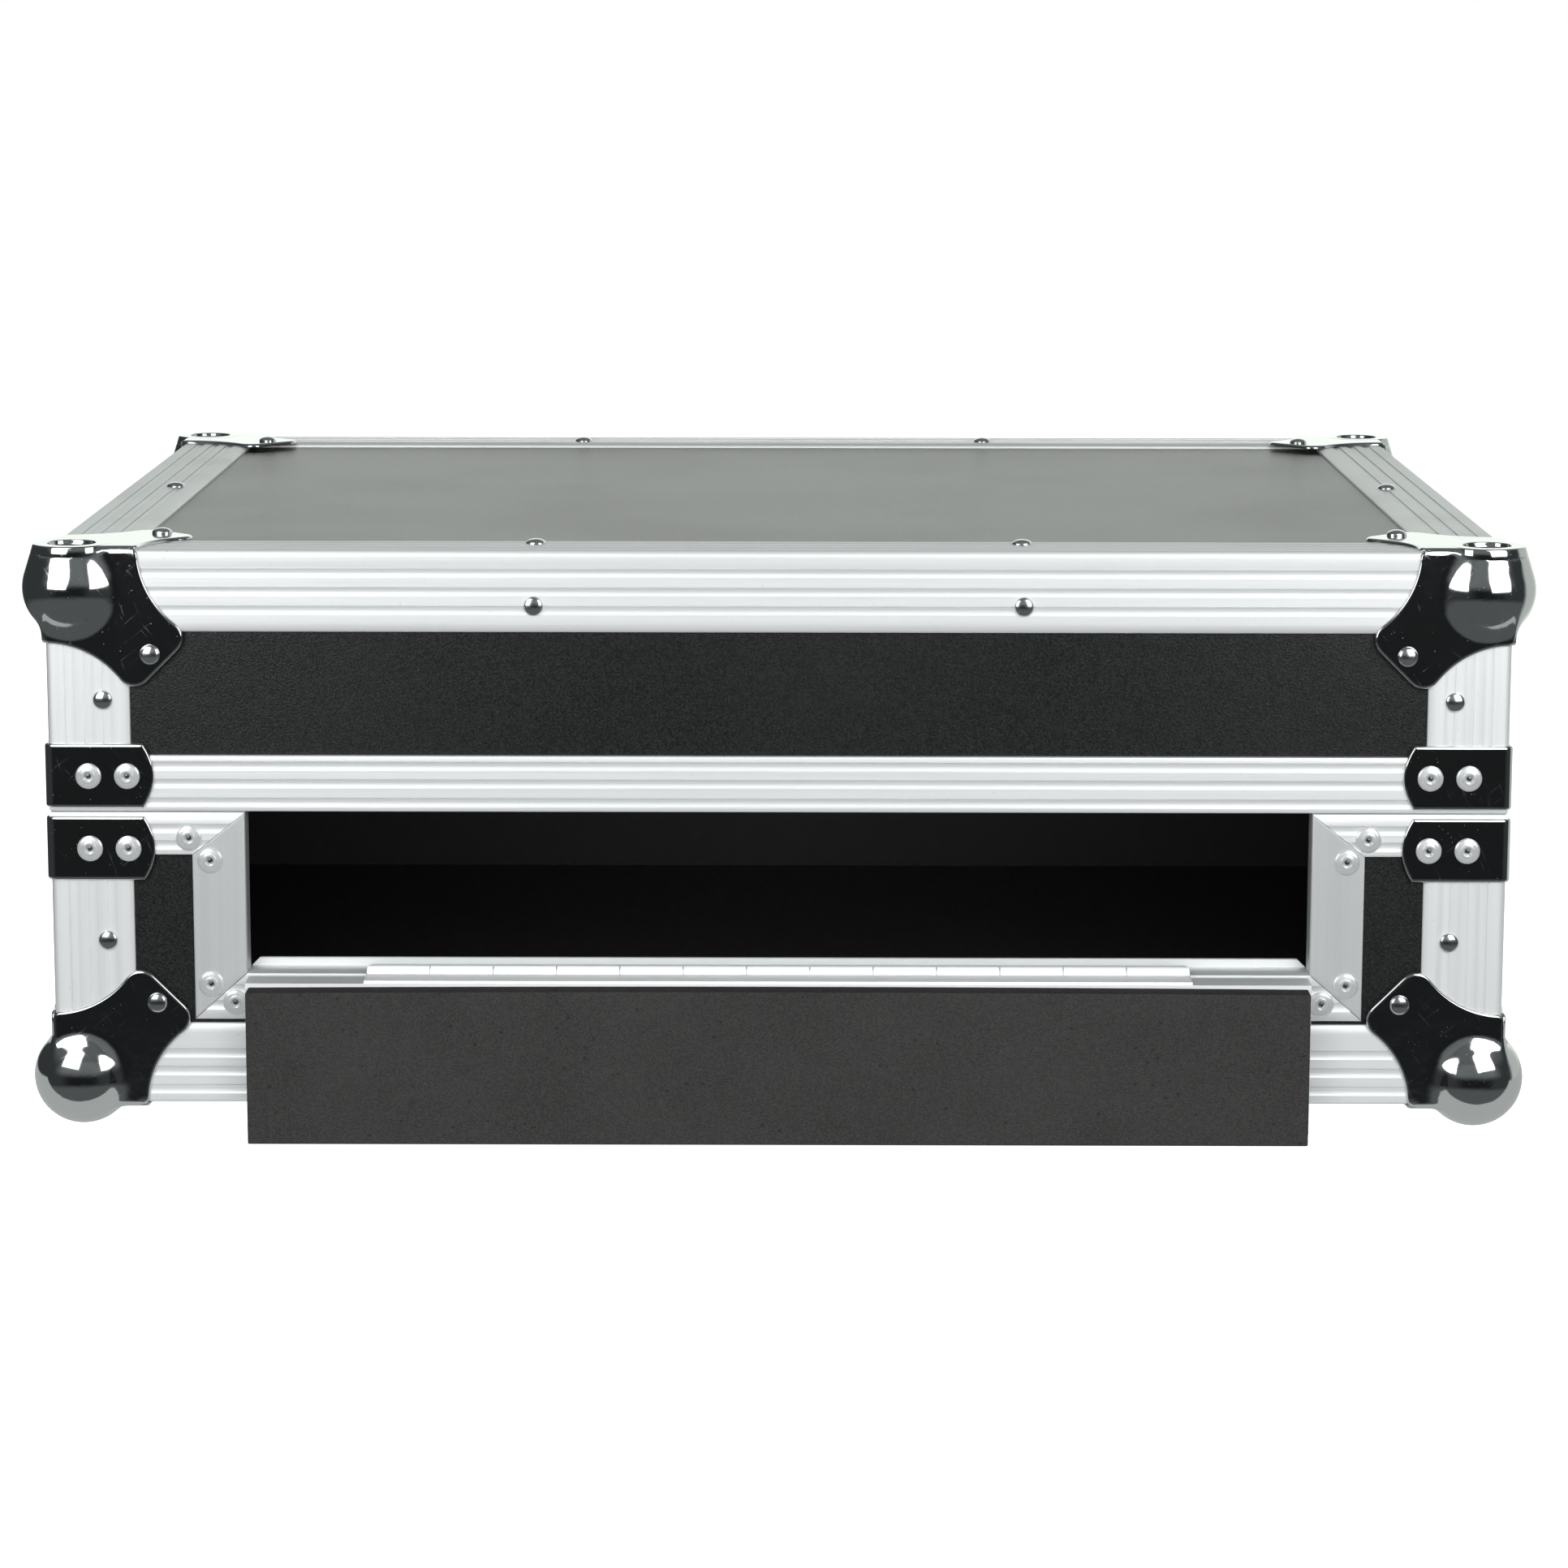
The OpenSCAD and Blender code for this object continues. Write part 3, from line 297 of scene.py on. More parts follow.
def wood_finish():
    """Pale softwood: growth rings cut lengthways, darker summer wood and fine fibres."""
    finish = Finish("softwood", Metallic=0.0, Roughness=0.62)
    rings = finish.noise(finish.place((1, 0.06, 1)), 130.0, distortion=0.6)
    fibre = finish.noise(finish.place((1, 0.03, 1)), 1500.0)
    colour = finish.blend(rings.step(0.44, 0.58), (0.60, 0.40, 0.20, 1.0), (0.40, 0.23, 0.10, 1.0))
    colour = finish.blend(fibre * 0.3, colour, (0.30, 0.17, 0.08, 1.0))
    finish.feed(Base_Color=colour, Normal=finish.bump(fibre + rings * 0.5, 0.2 * MM))
    return finish.material


def rubber_finish():
    """Black moulded rubber: a fine matt grain with paler rubbed skin."""
    finish = Finish("grip_rubber", Metallic=0.0)
    place = finish.place()
    grain = finish.noise(place, 1900.0, roughness=0.6)
    rubbed = finish.noise(place, 45.0).step(0.45, 0.7)
    finish.feed(
        Base_Color=finish.blend(rubbed, grey(0.016), grey(0.030)),
        Roughness=0.55 + rubbed * 0.12 + grain * 0.1,
        Normal=finish.bump(grain, 0.12 * MM),
    )
    return finish.material


# Stretches of the drawing lines along each axis
ALONG_X, ALONG_Y, ALONG_Z, NO_WAY = (0.01, 1, 1), (1, 0.01, 1), (1, 1, 0.01), (1, 1, 1)

laminate = laminate_finish()
aluminium_x = aluminium_finish("satin_aluminium_x", ALONG_X)
aluminium_y = aluminium_finish("satin_aluminium_y", ALONG_Y)
aluminium_z = aluminium_finish("satin_aluminium_z", ALONG_Z)
chrome = chrome_finish()
rivet_plate = chrome_finish("rivet_plate", base=0.82, roughness=0.20)
blind_plate = aluminium_finish("blind_rivet_aluminium", NO_WAY, base=0.92, roughness=0.20, metallic=0.60)
# Painted light: the hinge is a pale satin metal, but its full white, non-metal base is whiter still, to make up for
# the little light on its level leaf
hinge_painted_light = aluminium_finish("hinge_aluminium_painted_light", ALONG_X, base=1.0, roughness=0.45, metallic=0.0)
edging_plate = aluminium_finish("edging_aluminium", ALONG_X, base=0.82, roughness=0.42, metallic=0.25)
# Painted shade: the mandrel steel is darker than steel, to stand for the shadow down in the rivet's hollow
mandrel_steel_painted_shade = chrome_finish("mandrel_steel_painted_shade", base=0.30, roughness=0.30)
brushed_jamb = aluminium_finish("brushed_jamb", ALONG_Z, base=0.60)
zinc = zinc_finish()
foam = foam_finish()
lining_foam = foam_finish("lining_foam", tone=0.020)
softwood = wood_finish()
rubber = rubber_finish()

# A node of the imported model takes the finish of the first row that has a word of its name; what is left is panels
DRESSING = (
    (("_posts", "jamb"), aluminium_z),
    (("braces", "ball_corners", "bail"), chrome),
    (("edge_rear", "edge_front", "rim_rear", "rim_front", "sill"), aluminium_x),
    (("_edge_", "_rim_"), aluminium_y),
    (("flap_edging",), edging_plate),
    (("hinge",), hinge_painted_light),
    (("rivets",), rivet_plate),
    (("latch", "rack", "handle_plate"), zinc),
    (("battens",), softwood),
    (("grip",), rubber),
    (("foam", "lining"), None),
    (("",), laminate),
)
for name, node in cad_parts.items():
    material = next(material for words, material in DRESSING if any(word in name for word in words))
    if material:
        for slot in node.material_slots:
            slot.material = material


# ---- Places on the case, in millimetres ------------------------------------

CASE_W, CASE_D = 530.0, 418.0
BALL_DROP = 9.2
TOP_Z = 204.6
LEG, LEG_T, CORNER_R = 30.0, 2.0, 2.5
BASE_H, LID_Z = 108.5, 108.8
BASE_RIM_H, LID_RIM_H, RIM_DEPTH = 15.8, 20.6, 12.5
SIDES = REAR, RIGHT, FRONT, LEFT = range(4)
SIDE_NAMES = ("rear", "right", "front", "left")


def side_length(side):
    return CASE_W if side % 2 == 0 else CASE_D


def side_reach(side):
    return side_length(side + 1) / 2


def side_material(side):
    return aluminium_x if side % 2 == 0 else aluminium_y


def turned(points, side):
    """Points turned about the z axis by side quarter turns."""
    x, y, z = np.moveaxis(points, -1, 0)
    for _ in range(side):
        x, y = -y, x
    return np.stack([x, y, z], -1)


def from_top(points):
    """Points drawn up from the underside, hung from the lid's top instead."""
    return points * (1, 1, -1) + (0, 0, TOP_Z)


def on_side(points, side, hung=False):
    """Points given as x along a wall, depth from its outer face and height over the underside, put in place. Hung
    ones are measured down from the lid's top."""
    points = from_top(points) if hung else points
    return turned(points + (0, -side_reach(side), BALL_DROP), side)


def at_corner(points, side, hung=False):
    """Points given from the lower outer corner where a side starts, or the upper one if hung, put in place."""
    points = from_top(points) if hung else points
    return turned(points + (-side_length(side) / 2, -side_reach(side), BALL_DROP), side)


# ---- Meshes ----------------------------------------------------------------

WELD = 2e-6  # in metres; wider than the ring of radius POLE_R, in millimetres, that stands for a pole
POLE_R = 1e-4


def signed_volume(points, faces):
    """Six times the volume inside fan-cut faces, which is negative where they point inwards: the sum of the
    triple products of each fan's triangles, for all faces with the same number of corners at once."""
    total = 0.0
    for corners in {len(face) for face in faces}:
        ring = points[np.array([face for face in faces if len(face) == corners])]
        total += (np.cross(ring[:, 1:-1], ring[:, 2:]) * ring[:, :1]).sum()
    return total


class Part:
    """Shells gathered into one mesh. Each shell is an array of points in millimetres and its faces; a shell whose
    faces point inwards is turned round."""

    def __init__(self, points=None, faces=None):
        self.points, self.faces, self.count = [], [], 0
        if points is not None:
            self.add(points, faces)

    def add(self, points, faces):
        if signed_volume(points, faces) < 0:
            faces = [face[::-1] for face in faces]
        self.points.append(points)
        self.faces += [[corner + self.count for corner in face] for face in faces]
        self.count += len(points)

    def build(self, name, material, body, crease=35.0, replaces=(), slot=None, weld=False):
        """Makes the object. Edges whose faces meet at more than crease degrees shade sharp."""
        mesh = bpy.data.meshes.new(name)
        mesh.from_pydata((np.concatenate(self.points) * MM).tolist(), [], self.faces)
        if weld:
            work = bmesh.new()
            work.from_mesh(mesh)
            bmesh.ops.remove_doubles(work, verts=work.verts, dist=WELD)
            work.to_mesh(mesh)
            work.free()
        mesh.materials.append(material)
        mesh.polygons.foreach_set("use_smooth", np.ones(len(mesh.polygons), bool))
        mesh.set_sharp_from_angle(angle=math.radians(crease))
        mesh.update()
        made = bpy.data.objects.new(name, mesh)
        bpy.context.scene.collection.objects.link(made)
        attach(made, body)
        if replaces:
            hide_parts(*replaces)
        return made

    def stand_in(self, node, suffix, material, body, slot, **options):
        """Makes the object that takes a node's place, named after it."""
        return self.build(f"{node}_{suffix}", material, body, replaces=[node], slot=slot, **options)


def grid_faces(rows, columns, closed=False):
    """Quads of a grid of points, whose columns are joined round where it is closed."""
    index = np.arange(rows * columns).reshape(rows, columns)
    if closed:
        index = np.hstack([index, index[:, :1]])
    return np.stack([index[:-1, :-1], index[1:, :-1], index[1:, 1:], index[:-1, 1:]], -1).reshape(-1, 4)


def tube(rings):
    """Points and faces of closed rings of the same points, joined ring to ring, with both ends shut."""
    n, last = len(rings[0]), (len(rings) - 1) * len(rings[0])
    faces = grid_faces(len(rings), n, closed=True).tolist()
    return np.concatenate(rings), faces + [list(range(n)), list(range(last, last + n))[::-1]]


def bar(section, start, end, lift=0.0):
    """A section in depth and height, raised by lift and carried along x from start to end. Either is a number or
    one for each point of the section."""
    depth, height = section.T
    return tube([np.stack([place + 0 * depth, depth, height + lift], -1) for place in (start, end)])


def arc(centre, radius, start, end, steps):
    """Points of an arc, angles in degrees."""
    a = np.radians(np.linspace(start, end, steps + 1))
    return np.stack([centre[0] + radius * np.cos(a), centre[1] + radius * np.sin(a)], -1)


def inset(outline, distance):
    """A closed outline moved inwards: each point goes by distance along the mitre of its two edge normals."""
    edge = np.roll(outline, -1, 0) - outline
    normal = np.stack([-edge[:, 1], edge[:, 0]], -1) / np.linalg.norm(edge, axis=1, keepdims=True)
    if (outline[:, 0] * np.roll(outline[:, 1], -1) - np.roll(outline[:, 0], -1) * outline[:, 1]).sum() < 0:
        normal = -normal
    before = np.roll(normal, 1, 0)
    mitre = (normal + before) / (1 + (normal * before).sum(1, keepdims=True))
    return outline + distance * mitre


# ---- Aluminium extrusions --------------------------------------------------

LINES = (6.9, 13.7, 20.4)
COVE_W, COVE_LOW, COVE_SAG, COVE_WALL = 3.0, 0.24, 0.26, 0.32
CREASE_END = 0.18
CREASE = ((-0.20, 0.0), (-0.08, 0.74), (0.10, 0.74), (CREASE_END, COVE_LOW))
LEAN, LEAN_FROM, LEAN_TO = 0.16, CORNER_R + 0.6, LINES[0] - 0.4
LIP_START, LIP_DEPTH = 26.2, 1.45
HIDDEN_END = 22.0
POST_LINES, POST_LINED = 0.55, (4.0, 25.5)


def line_cut(at, way=1):
    """One line of an extrusion as pairs of place and depth, in order of place: a narrow crease, and beside it, on
    the side that way names, a shallow cove: a channel of even depth plus a parabola, with a slanted far wall."""
    u = np.linspace(0, 1, 9)[1:]
    cove = np.stack([CREASE_END + (COVE_W - CREASE_END) * u, COVE_LOW + COVE_SAG * 4 * u * (1 - u)], -1)
    half = np.concatenate([CREASE, cove, [(COVE_W + COVE_WALL, 0.0)]])
    return half + (at, 0) if way > 0 else half[::-1] * (-1, 1) + (at, 0)


def leg_face(way):
    """The outer face of a leg as pairs of distance from the corner and depth: three lines with their coves on the
    side that way names, and a free edge that falls away on a quarter ellipse. Where the coves lie outwards, the
    face leans in on a parabola before the first line."""
    t = np.linspace(0, math.pi / 2, 9)
    lip = np.stack([LIP_START + (LEG - LIP_START) * np.sin(t), LIP_DEPTH * (1 - np.cos(t))], -1)
    u = np.linspace(0, 1, 6)[1:]
    lean = np.stack([LEAN_FROM + (LEAN_TO - LEAN_FROM) * u, LEAN * u ** 2], -1)
    start = lean if way > 0 else [(CORNER_R + 0.4, 0.0)]
    return np.concatenate([[(CORNER_R, 0.0)], start, *[line_cut(at, way) for at in LINES], lip])


def angle_section(way):
    """Closed outline of the L section, in depth and height from its outer corner. The coves of both legs lie
    beside their lines as way says."""
    corner = arc((CORNER_R, CORNER_R), CORNER_R, 270, 180, 8)[1:-1]
    inner = [(LEG_T, LEG), (LEG_T, LEG_T), (LEG, LEG_T)]
    return np.concatenate([leg_face(way)[::-1], corner, leg_face(way)[:, ::-1], inner])


LID_ANGLE, BASE_ANGLE = angle_section(1), angle_section(-1)


def edge_bar(side, section):
    """The edge extrusion of a side, each end cut back by the larger of depth and height. Nothing is there under
    the pressed corner."""
    end = side_length(side) / 2 - np.maximum(section.max(1), HIDDEN_END)
    return bar(section, -end, end)


def post_bar(top):
    """A post in the corner at the origin: the section, with its lines only a share POST_LINES as deep, up z from
    the larger of x and depth to a level top."""
    x, d = LID_ANGLE.T
    deep, reach = np.minimum(x, d), np.maximum(x, d)
    deep = deep * np.where((reach > POST_LINED[0]) & (reach < POST_LINED[1]), POST_LINES, 1.0)
    x, d = np.where(x < d, deep, reach), np.where(x < d, reach, deep)
    return tube([np.stack([x, d, z], -1) for z in (np.maximum(reach, HIDDEN_END), top + 0 * reach)])


for side, name in zip(SIDES, SIDE_NAMES):
    for body, section, hung in (("base", BASE_ANGLE, False), ("lid", LID_ANGLE, True)):
        points, faces = edge_bar(side, section)
        Part(on_side(points, side, hung), faces).stand_in(
            f"{body}_edge_{name}", "reeded", side_material(side), body, "aluminium")

for body, top, hung in (("base", BASE_H - BASE_RIM_H, False), ("lid", TOP_Z - LID_Z - LID_RIM_H, True)):
    posts = Part()
    points, faces = post_bar(top)
    for side in SIDES:
        posts.add(at_corner(points, side, hung), faces)
    posts.stand_in(f"{body}_posts", "reeded", aluminium_z, body, "aluminium")


# ---- Closing profiles and the frame of the cable opening -------------------

OPENING_HALF, FRAME_W = 194.0, 19.5
DISH_HALF = 56.3
SILL_Z, SILL_H = 48.8, 17.3
INNER_LEG, INNER_LEG_AT = 13.0, 11.0
EDGE_ABOVE, EDGE_BELOW = ((0.9, 0.0), (0.25, -0.2), (0.0, -0.8)), ((0.0, 0.8), (0.25, 0.2), (0.7, 0.0))


def rim_face(height, lines, foot):
    """The outer face of a closing profile from height down to foot, in depth and height, with its lines and a
    rounded edge above and below."""
    cuts = [line_cut(-line)[:, ::-1] * (1, -1) for line in sorted(lines, reverse=True)]
    return np.concatenate([EDGE_ABOVE + np.array((0, height)), *cuts, EDGE_BELOW + np.array((0, foot))])


# In depth and height from the parting line: the outer face, then the back with its inner leg, and the base's tongue
# or the lid's groove
BASE_RIM = np.concatenate([
    rim_face(0.0, (-4.4, -10.5), -BASE_RIM_H),
    [(LEG_T, -BASE_RIM_H), (LEG_T, -LEG_T), (INNER_LEG_AT, -LEG_T), (INNER_LEG_AT, -INNER_LEG),
     (RIM_DEPTH, -INNER_LEG), (RIM_DEPTH, 0)],
    [(7.5, 0), (7.3, 4.3), (7.1, 4.5), (4.9, 4.5), (4.7, 4.3), (4.5, 0)]])
LID_RIM = np.concatenate([
    rim_face(LID_RIM_H, (5.0, 11.9, 18.3), 0.0),
    [(4, 0), (4, 5), (8, 5), (8, 0)],
    [(RIM_DEPTH, 0), (RIM_DEPTH, INNER_LEG), (INNER_LEG_AT, INNER_LEG), (INNER_LEG_AT, 7), (LEG_T, 7),
     (LEG_T, LID_RIM_H)]])


def rim_part(section, side, lift, gap):
    """A side's closing profile raised by lift and mitred at the corners. A gap, given as a half width or as one
    for each point of the section, leaves two bars."""
    end = side_length(side) / 2 - section[:, 0]
    spans = [(-end, end)] if gap is None else [(way * gap, way * end) for way in (-1, 1)]
    part = Part()
    for start, stop in spans:
        points, faces = bar(section, start, stop, lift)
        part.add(on_side(points, side), faces)
    return part


# The rear profile of the base stops at the cable opening, where it meets the frame at a slant. Those of the left
# and right sides stop at the latch dish, and only their inner leg runs past it.
slant = OPENING_HALF + np.clip(-BASE_RIM[:, 1], 0, BASE_RIM_H) * FRAME_W / BASE_RIM_H
for body, section, lift, rear_gap, leg_h in (("base", BASE_RIM, BASE_H, slant, -INNER_LEG),
                                             ("lid", LID_RIM, LID_Z, None, INNER_LEG)):
    for side, name in zip(SIDES, SIDE_NAMES):
        rim = rim_part(section, side, lift, {REAR: rear_gap, FRONT: None}.get(side, DISH_HALF))
        if side in (RIGHT, LEFT):
            leg = np.array([(INNER_LEG_AT, 0), (RIM_DEPTH, 0), (RIM_DEPTH, leg_h), (INNER_LEG_AT, leg_h)])
            points, faces = bar(leg, -DISH_HALF, DISH_HALF, lift)
            rim.add(on_side(points, side), faces)
        rim.stand_in(f"{body}_rim_{name}", "lined", side_material(side), body, "aluminium")


def rolled_plate(outline, thickness, edge):
    """A plate on the outline in x and z whose front lies at depth 0. Its border goes back on a quarter circle of
    radius edge: inset e(1 - sin a) at depth e(1 - cos a)."""
    rings = [(0.0, thickness)]
    rings += [(edge * (1 - math.cos(a)), edge * (1 - math.sin(a))) for a in np.linspace(0, math.pi / 2, 5)]
    rings.append((edge + 0.15, 0.0))
    return tube([np.insert(inset(outline, inwards), 1, depth, 1) for inwards, depth in rings])


def prism(outline, front, back):
    """A straight prism on an outline in x and z between two depths."""
    return tube([np.insert(outline, 1, depth, 1) for depth in (front, back)])


def jamb_outline(width, foot, way):
    """A strip of a jamb in x and z, from the opening outwards. Its top follows the mitre of the closing profile,
    and its outer side goes down to foot."""
    inner, outer = OPENING_HALF, OPENING_HALF + width
    return np.array([(inner, SILL_Z), (outer, foot), (outer, BASE_H - width * BASE_RIM_H / FRAME_W),
                     (inner, BASE_H)]) * (way, 1)


JAMB_GAP, JAMB_EDGE, JAMB_FRONT = 0.08, 0.55, 1.0
for way, name in ((1, "right"), (-1, "left")):
    jamb = Part()
    for points, faces in (
            rolled_plate(inset(jamb_outline(FRAME_W, SILL_Z - SILL_H, way), JAMB_GAP), LEG_T, JAMB_EDGE),
            prism(jamb_outline(LEG_T, SILL_Z, way), JAMB_FRONT, INNER_LEG),
            prism(jamb_outline(INNER_LEG, SILL_Z, way), INNER_LEG_AT, INNER_LEG)):
        jamb.add(on_side(points, REAR), faces)
    jamb.stand_in(f"opening_jamb_{name}", "brushed", brushed_jamb, "base", "aluminium")

# In depth and height over the underside: the outer face, then the inner leg and the lip behind the flap's edge
SILL = np.concatenate([
    rim_face(SILL_Z, (SILL_Z - 4.3, SILL_Z - 10.4), SILL_Z - SILL_H),
    [(2, 31.5), (2, 46.8), (11, 46.8), (11, 35.8), (12.5, 35.8), (12.5, 46.8), (16, 46.8), (16, 51.5), (15.7, 51.8),
     (14.3, 51.8), (14, 51.5), (14, 48.8)]])
d, z = SILL.T
sill_end = OPENING_HALF + np.where(d <= LEG_T, (SILL_Z - z) * FRAME_W / SILL_H, -np.maximum(z - SILL_Z, 0))
points, faces = bar(SILL, -sill_end, sill_end)
Part(on_side(points, REAR), faces).stand_in("opening_sill", "lined", aluminium_x, "base", "aluminium")


# ---- Pressed corners -------------------------------------------------------

PLATE_T, ROLL = 1.4, 1.1
OUTLINE_STEP = 1.5
NEAR_EDGE = (0.0, 0.05, 0.2, 0.45, 0.75, 1.1)
FAR = 99.0
BALL_R, BALL_IN, UPPER_BALL_Z = 18.17, 9.0, 14.8
CROWN_R, DISH_R, DISH_DEPTH = 14.2, 8.9, 2.3
WAIST_AT, WAIST_R = 68.0, 33.8
SHOULDER, SHOULDER_R = (43.3, 32.0), 6.62


def roll_drop(distance):
    """How far a sheet's surface has fallen at a distance from its free edge: a quarter circle of radius ROLL."""
    short = np.clip(ROLL - distance, 0, ROLL)
    return ROLL - np.sqrt(np.maximum(ROLL ** 2 - short ** 2, 0))


def sampled(points):
    """A line through points, cut into equal steps near OUTLINE_STEP."""
    points = np.asarray(points, float)
    length = np.concatenate([[0], np.cumsum(np.linalg.norm(np.diff(points, axis=0), axis=1))])
    count = max(2, int(round(length[-1] / OUTLINE_STEP)))
    at = np.linspace(0, length[-1], count + 1)
    return np.stack([np.interp(at, length, points[:, k]) for k in (0, 1)], -1)


def petal_outline():
    """One leg of a ball corner in its own plane: hollow sides, two round shoulders, a blunt end. Returns the points
    in order and whether each is on the free edge. The two fold lines come first and last."""
    low, reach = -PLATE_T, WAIST_AT - WAIST_R
    turn = math.degrees(math.atan2(SHOULDER[1], WAIST_AT - SHOULDER[0]))
    fold = sampled([(low, low), (reach, low)])
    waist = sampled(np.concatenate([[(reach, low)], arc((WAIST_AT, 0), WAIST_R, 180, 180 - turn, 40)]))
    first = sampled(arc(SHOULDER, SHOULDER_R, -turn, 45, 30))
    second = sampled(arc(SHOULDER[::-1], SHOULDER_R, 45, 90 + turn, 30))
    blunt = sampled([first[-1], second[0]])
    free = np.concatenate([waist[:-1], first[:-1], blunt[:-1], second, waist[::-1, ::-1][1:]])
    outline = np.concatenate([fold[:-1], free, fold[::-1, ::-1][1:-1]])
    is_free = np.zeros(len(outline), bool)
    is_free[len(fold) - 1:len(fold) - 1 + len(free)] = True
    return outline, is_free


PETAL, PETAL_FREE = petal_outline()


def distance_to_chain(points, chain):
    """Distance from each point to a chain of straight steps, by the nearest place on each step."""
    step = np.diff(chain, axis=0, append=2 * chain[-1:] - chain[-2:-1])
    gap = points[..., None, :] - chain
    along = np.clip((gap * step).sum(-1) / (step ** 2).sum(-1), 0, 1)
    return np.linalg.norm(gap - along[..., None] * step, axis=-1).min(-1)


def union(a, b, blend):
    """The lesser of two distances, run together over blend so that a hollow fillet fills the crease."""
    near = np.maximum(blend - np.abs(a - b), 0) / blend
    return np.minimum(a, b) - near ** 2 * blend / 4


class PressedCorner:
    """A ball corner in the corner at the origin, its faces a sheet's thickness outside: the ball and the folded
    plate as distances, met with a fillet, found along rays from the middle of the ball."""

    FOLD_R, BLEND = 2.6, 3.5
    CORE_RINGS, EDGE_RINGS, INNER_EVERY = 42, np.array(NEAR_EDGE + (1.4,)), 7
    SHEET, LEAST_SHEET = PLATE_T - 0.05, 0.2
    FIRST_RING, RAY_FROM, RAY_TO, HALVINGS, SLOPE_STEP = 0.35, 0.3, 60.0, 36, 0.01

    def __init__(self, ball_z, sunk=0.0):
        self.centre = np.array([BALL_IN, BALL_IN, ball_z])
        self.low = np.array([-PLATE_T, -PLATE_T, sunk - PLATE_T])

    def ball(self, p):
        return np.linalg.norm(p - self.centre, axis=-1) - BALL_R

    def distance(self, p):
        q = self.low + self.FOLD_R - p
        plate = np.linalg.norm(np.maximum(q, 0), axis=-1) + np.minimum(q.max(-1), 0) - self.FOLD_R
        return union(self.ball(p), plate, self.BLEND)

    def slope(self, p):
        """Unit gradient of the distance, by differences."""
        steps = np.eye(3) * self.SLOPE_STEP
        g = np.stack([self.distance(p + step) - self.distance(p - step) for step in steps], -1)
        return g / np.linalg.norm(g, axis=-1, keepdims=True)

    def surface(self, ray):
        """The points where rays from the ball's middle leave the shape, by halving."""
        low, high = (np.full((*ray.shape[:-1], 1), share) for share in (self.RAY_FROM, self.RAY_TO))
        for _ in range(self.HALVINGS):
            middle = (low + high) / 2
            inside = self.distance(self.centre + ray * middle)[..., None] < 0
            low, high = np.where(inside, middle, low), np.where(inside, high, middle)
        return self.centre + ray * high

    def face(self, axis):
        """Outer and inner points of the leg on the plane across an axis, as rings from the foot of the ball's axis
        to the outline. The wall goes inwards by its thickness, and the free edge is rolled. The inner surface has
        fewer rings."""
        a, b = (axis + 1) % 3, (axis + 2) % 3
        foot = self.centre[[a, b]]
        core = inset(PETAL, self.EDGE_RINGS[-1])
        start = foot + (core - foot) / np.linalg.norm(core - foot, axis=1, keepdims=True) * self.FIRST_RING
        flat = np.stack([start + (core - start) * t for t in np.linspace(0, 1, self.CORE_RINGS)]
                        + [inset(PETAL, inwards) for inwards in self.EDGE_RINGS[-2::-1]])
        rows, near_edge = len(flat), 2 * len(self.EDGE_RINGS)
        to_edge = np.full(flat.shape[:2], FAR)
        to_edge[-near_edge:] = distance_to_chain(flat[-near_edge:], PETAL[PETAL_FREE])
        target = np.zeros((*flat.shape[:2], 3))
        target[..., a], target[..., b], target[..., axis] = flat[..., 0], flat[..., 1], self.low[axis]
        outer = self.surface(target - self.centre)
        slope, drop = self.slope(outer), roll_drop(to_edge)[..., None]
        outer = outer - slope * drop
        inner = outer - slope * np.maximum(self.SHEET - drop, self.LEAST_SHEET)
        return outer, inner[[*range(0, rows - 1, self.INNER_EVERY), rows - 1]]

    def add_to(self, part, put):
        """Adds the closed shell, put in place by a function of points: for each leg its outer and inner grids, the
        quads that join them at the free edge, and the two small holes at the foot shut."""
        points, faces, count = [], [], 0
        ring = np.arange(len(PETAL))
        i = ring[PETAL_FREE & np.roll(PETAL_FREE, -1)]
        j = (i + 1) % len(ring)
        for axis in range(3):
            outer, inner = self.face(axis)
            n, m = outer[..., 0].size, inner[..., 0].size
            points += [outer.reshape(-1, 3), inner.reshape(-1, 3)]
            faces += (grid_faces(*outer.shape[:2], closed=True) + count).tolist()
            faces += (grid_faces(*inner.shape[:2], closed=True)[:, ::-1] + count + n).tolist()
            last, inner_last = count + n - len(ring), count + n + m - len(ring)
            faces += np.stack([last + i, inner_last + i, inner_last + j, last + j], -1).tolist()
            faces += [(count + ring).tolist(), (count + n + ring)[::-1].tolist()]
            count += n + m
        part.add(put(np.concatenate(points)), faces)


class CrownedCorner(PressedCorner):
    """An upper ball corner. Its ball runs up to the crown's rim on a cone that touches it, there is room for the
    crown, and the plate lies a little under the crown's flat ring."""

    RIM_RISE, CUT_Z = 0.6, 2.2
    ROOM_R, ROOM_Z = 12.0, 1.6

    def __init__(self, ball_z):
        super().__init__(ball_z, sunk=0.06)
        rise = ball_z + self.RIM_RISE
        self.lean = math.atan2(rise, CROWN_R) - math.acos(BALL_R / math.hypot(rise, CROWN_R))

    def away(self, p):
        """Distance from the upright axis of the ball."""
        return np.linalg.norm(p[..., :2] - self.centre[:2], axis=-1)

    def ball(self, p):
        away, up = self.away(p), self.centre[2] - p[..., 2]
        cone = away * math.cos(self.lean) + up * math.sin(self.lean) - BALL_R
        over = up * math.cos(self.lean) > away * math.sin(self.lean)
        return np.maximum(np.where(over, cone, super().ball(p)), self.CUT_Z - p[..., 2])

    def distance(self, p):
        return np.maximum(super().distance(p), -np.maximum(self.away(p) - self.ROOM_R, p[..., 2] - self.ROOM_Z))


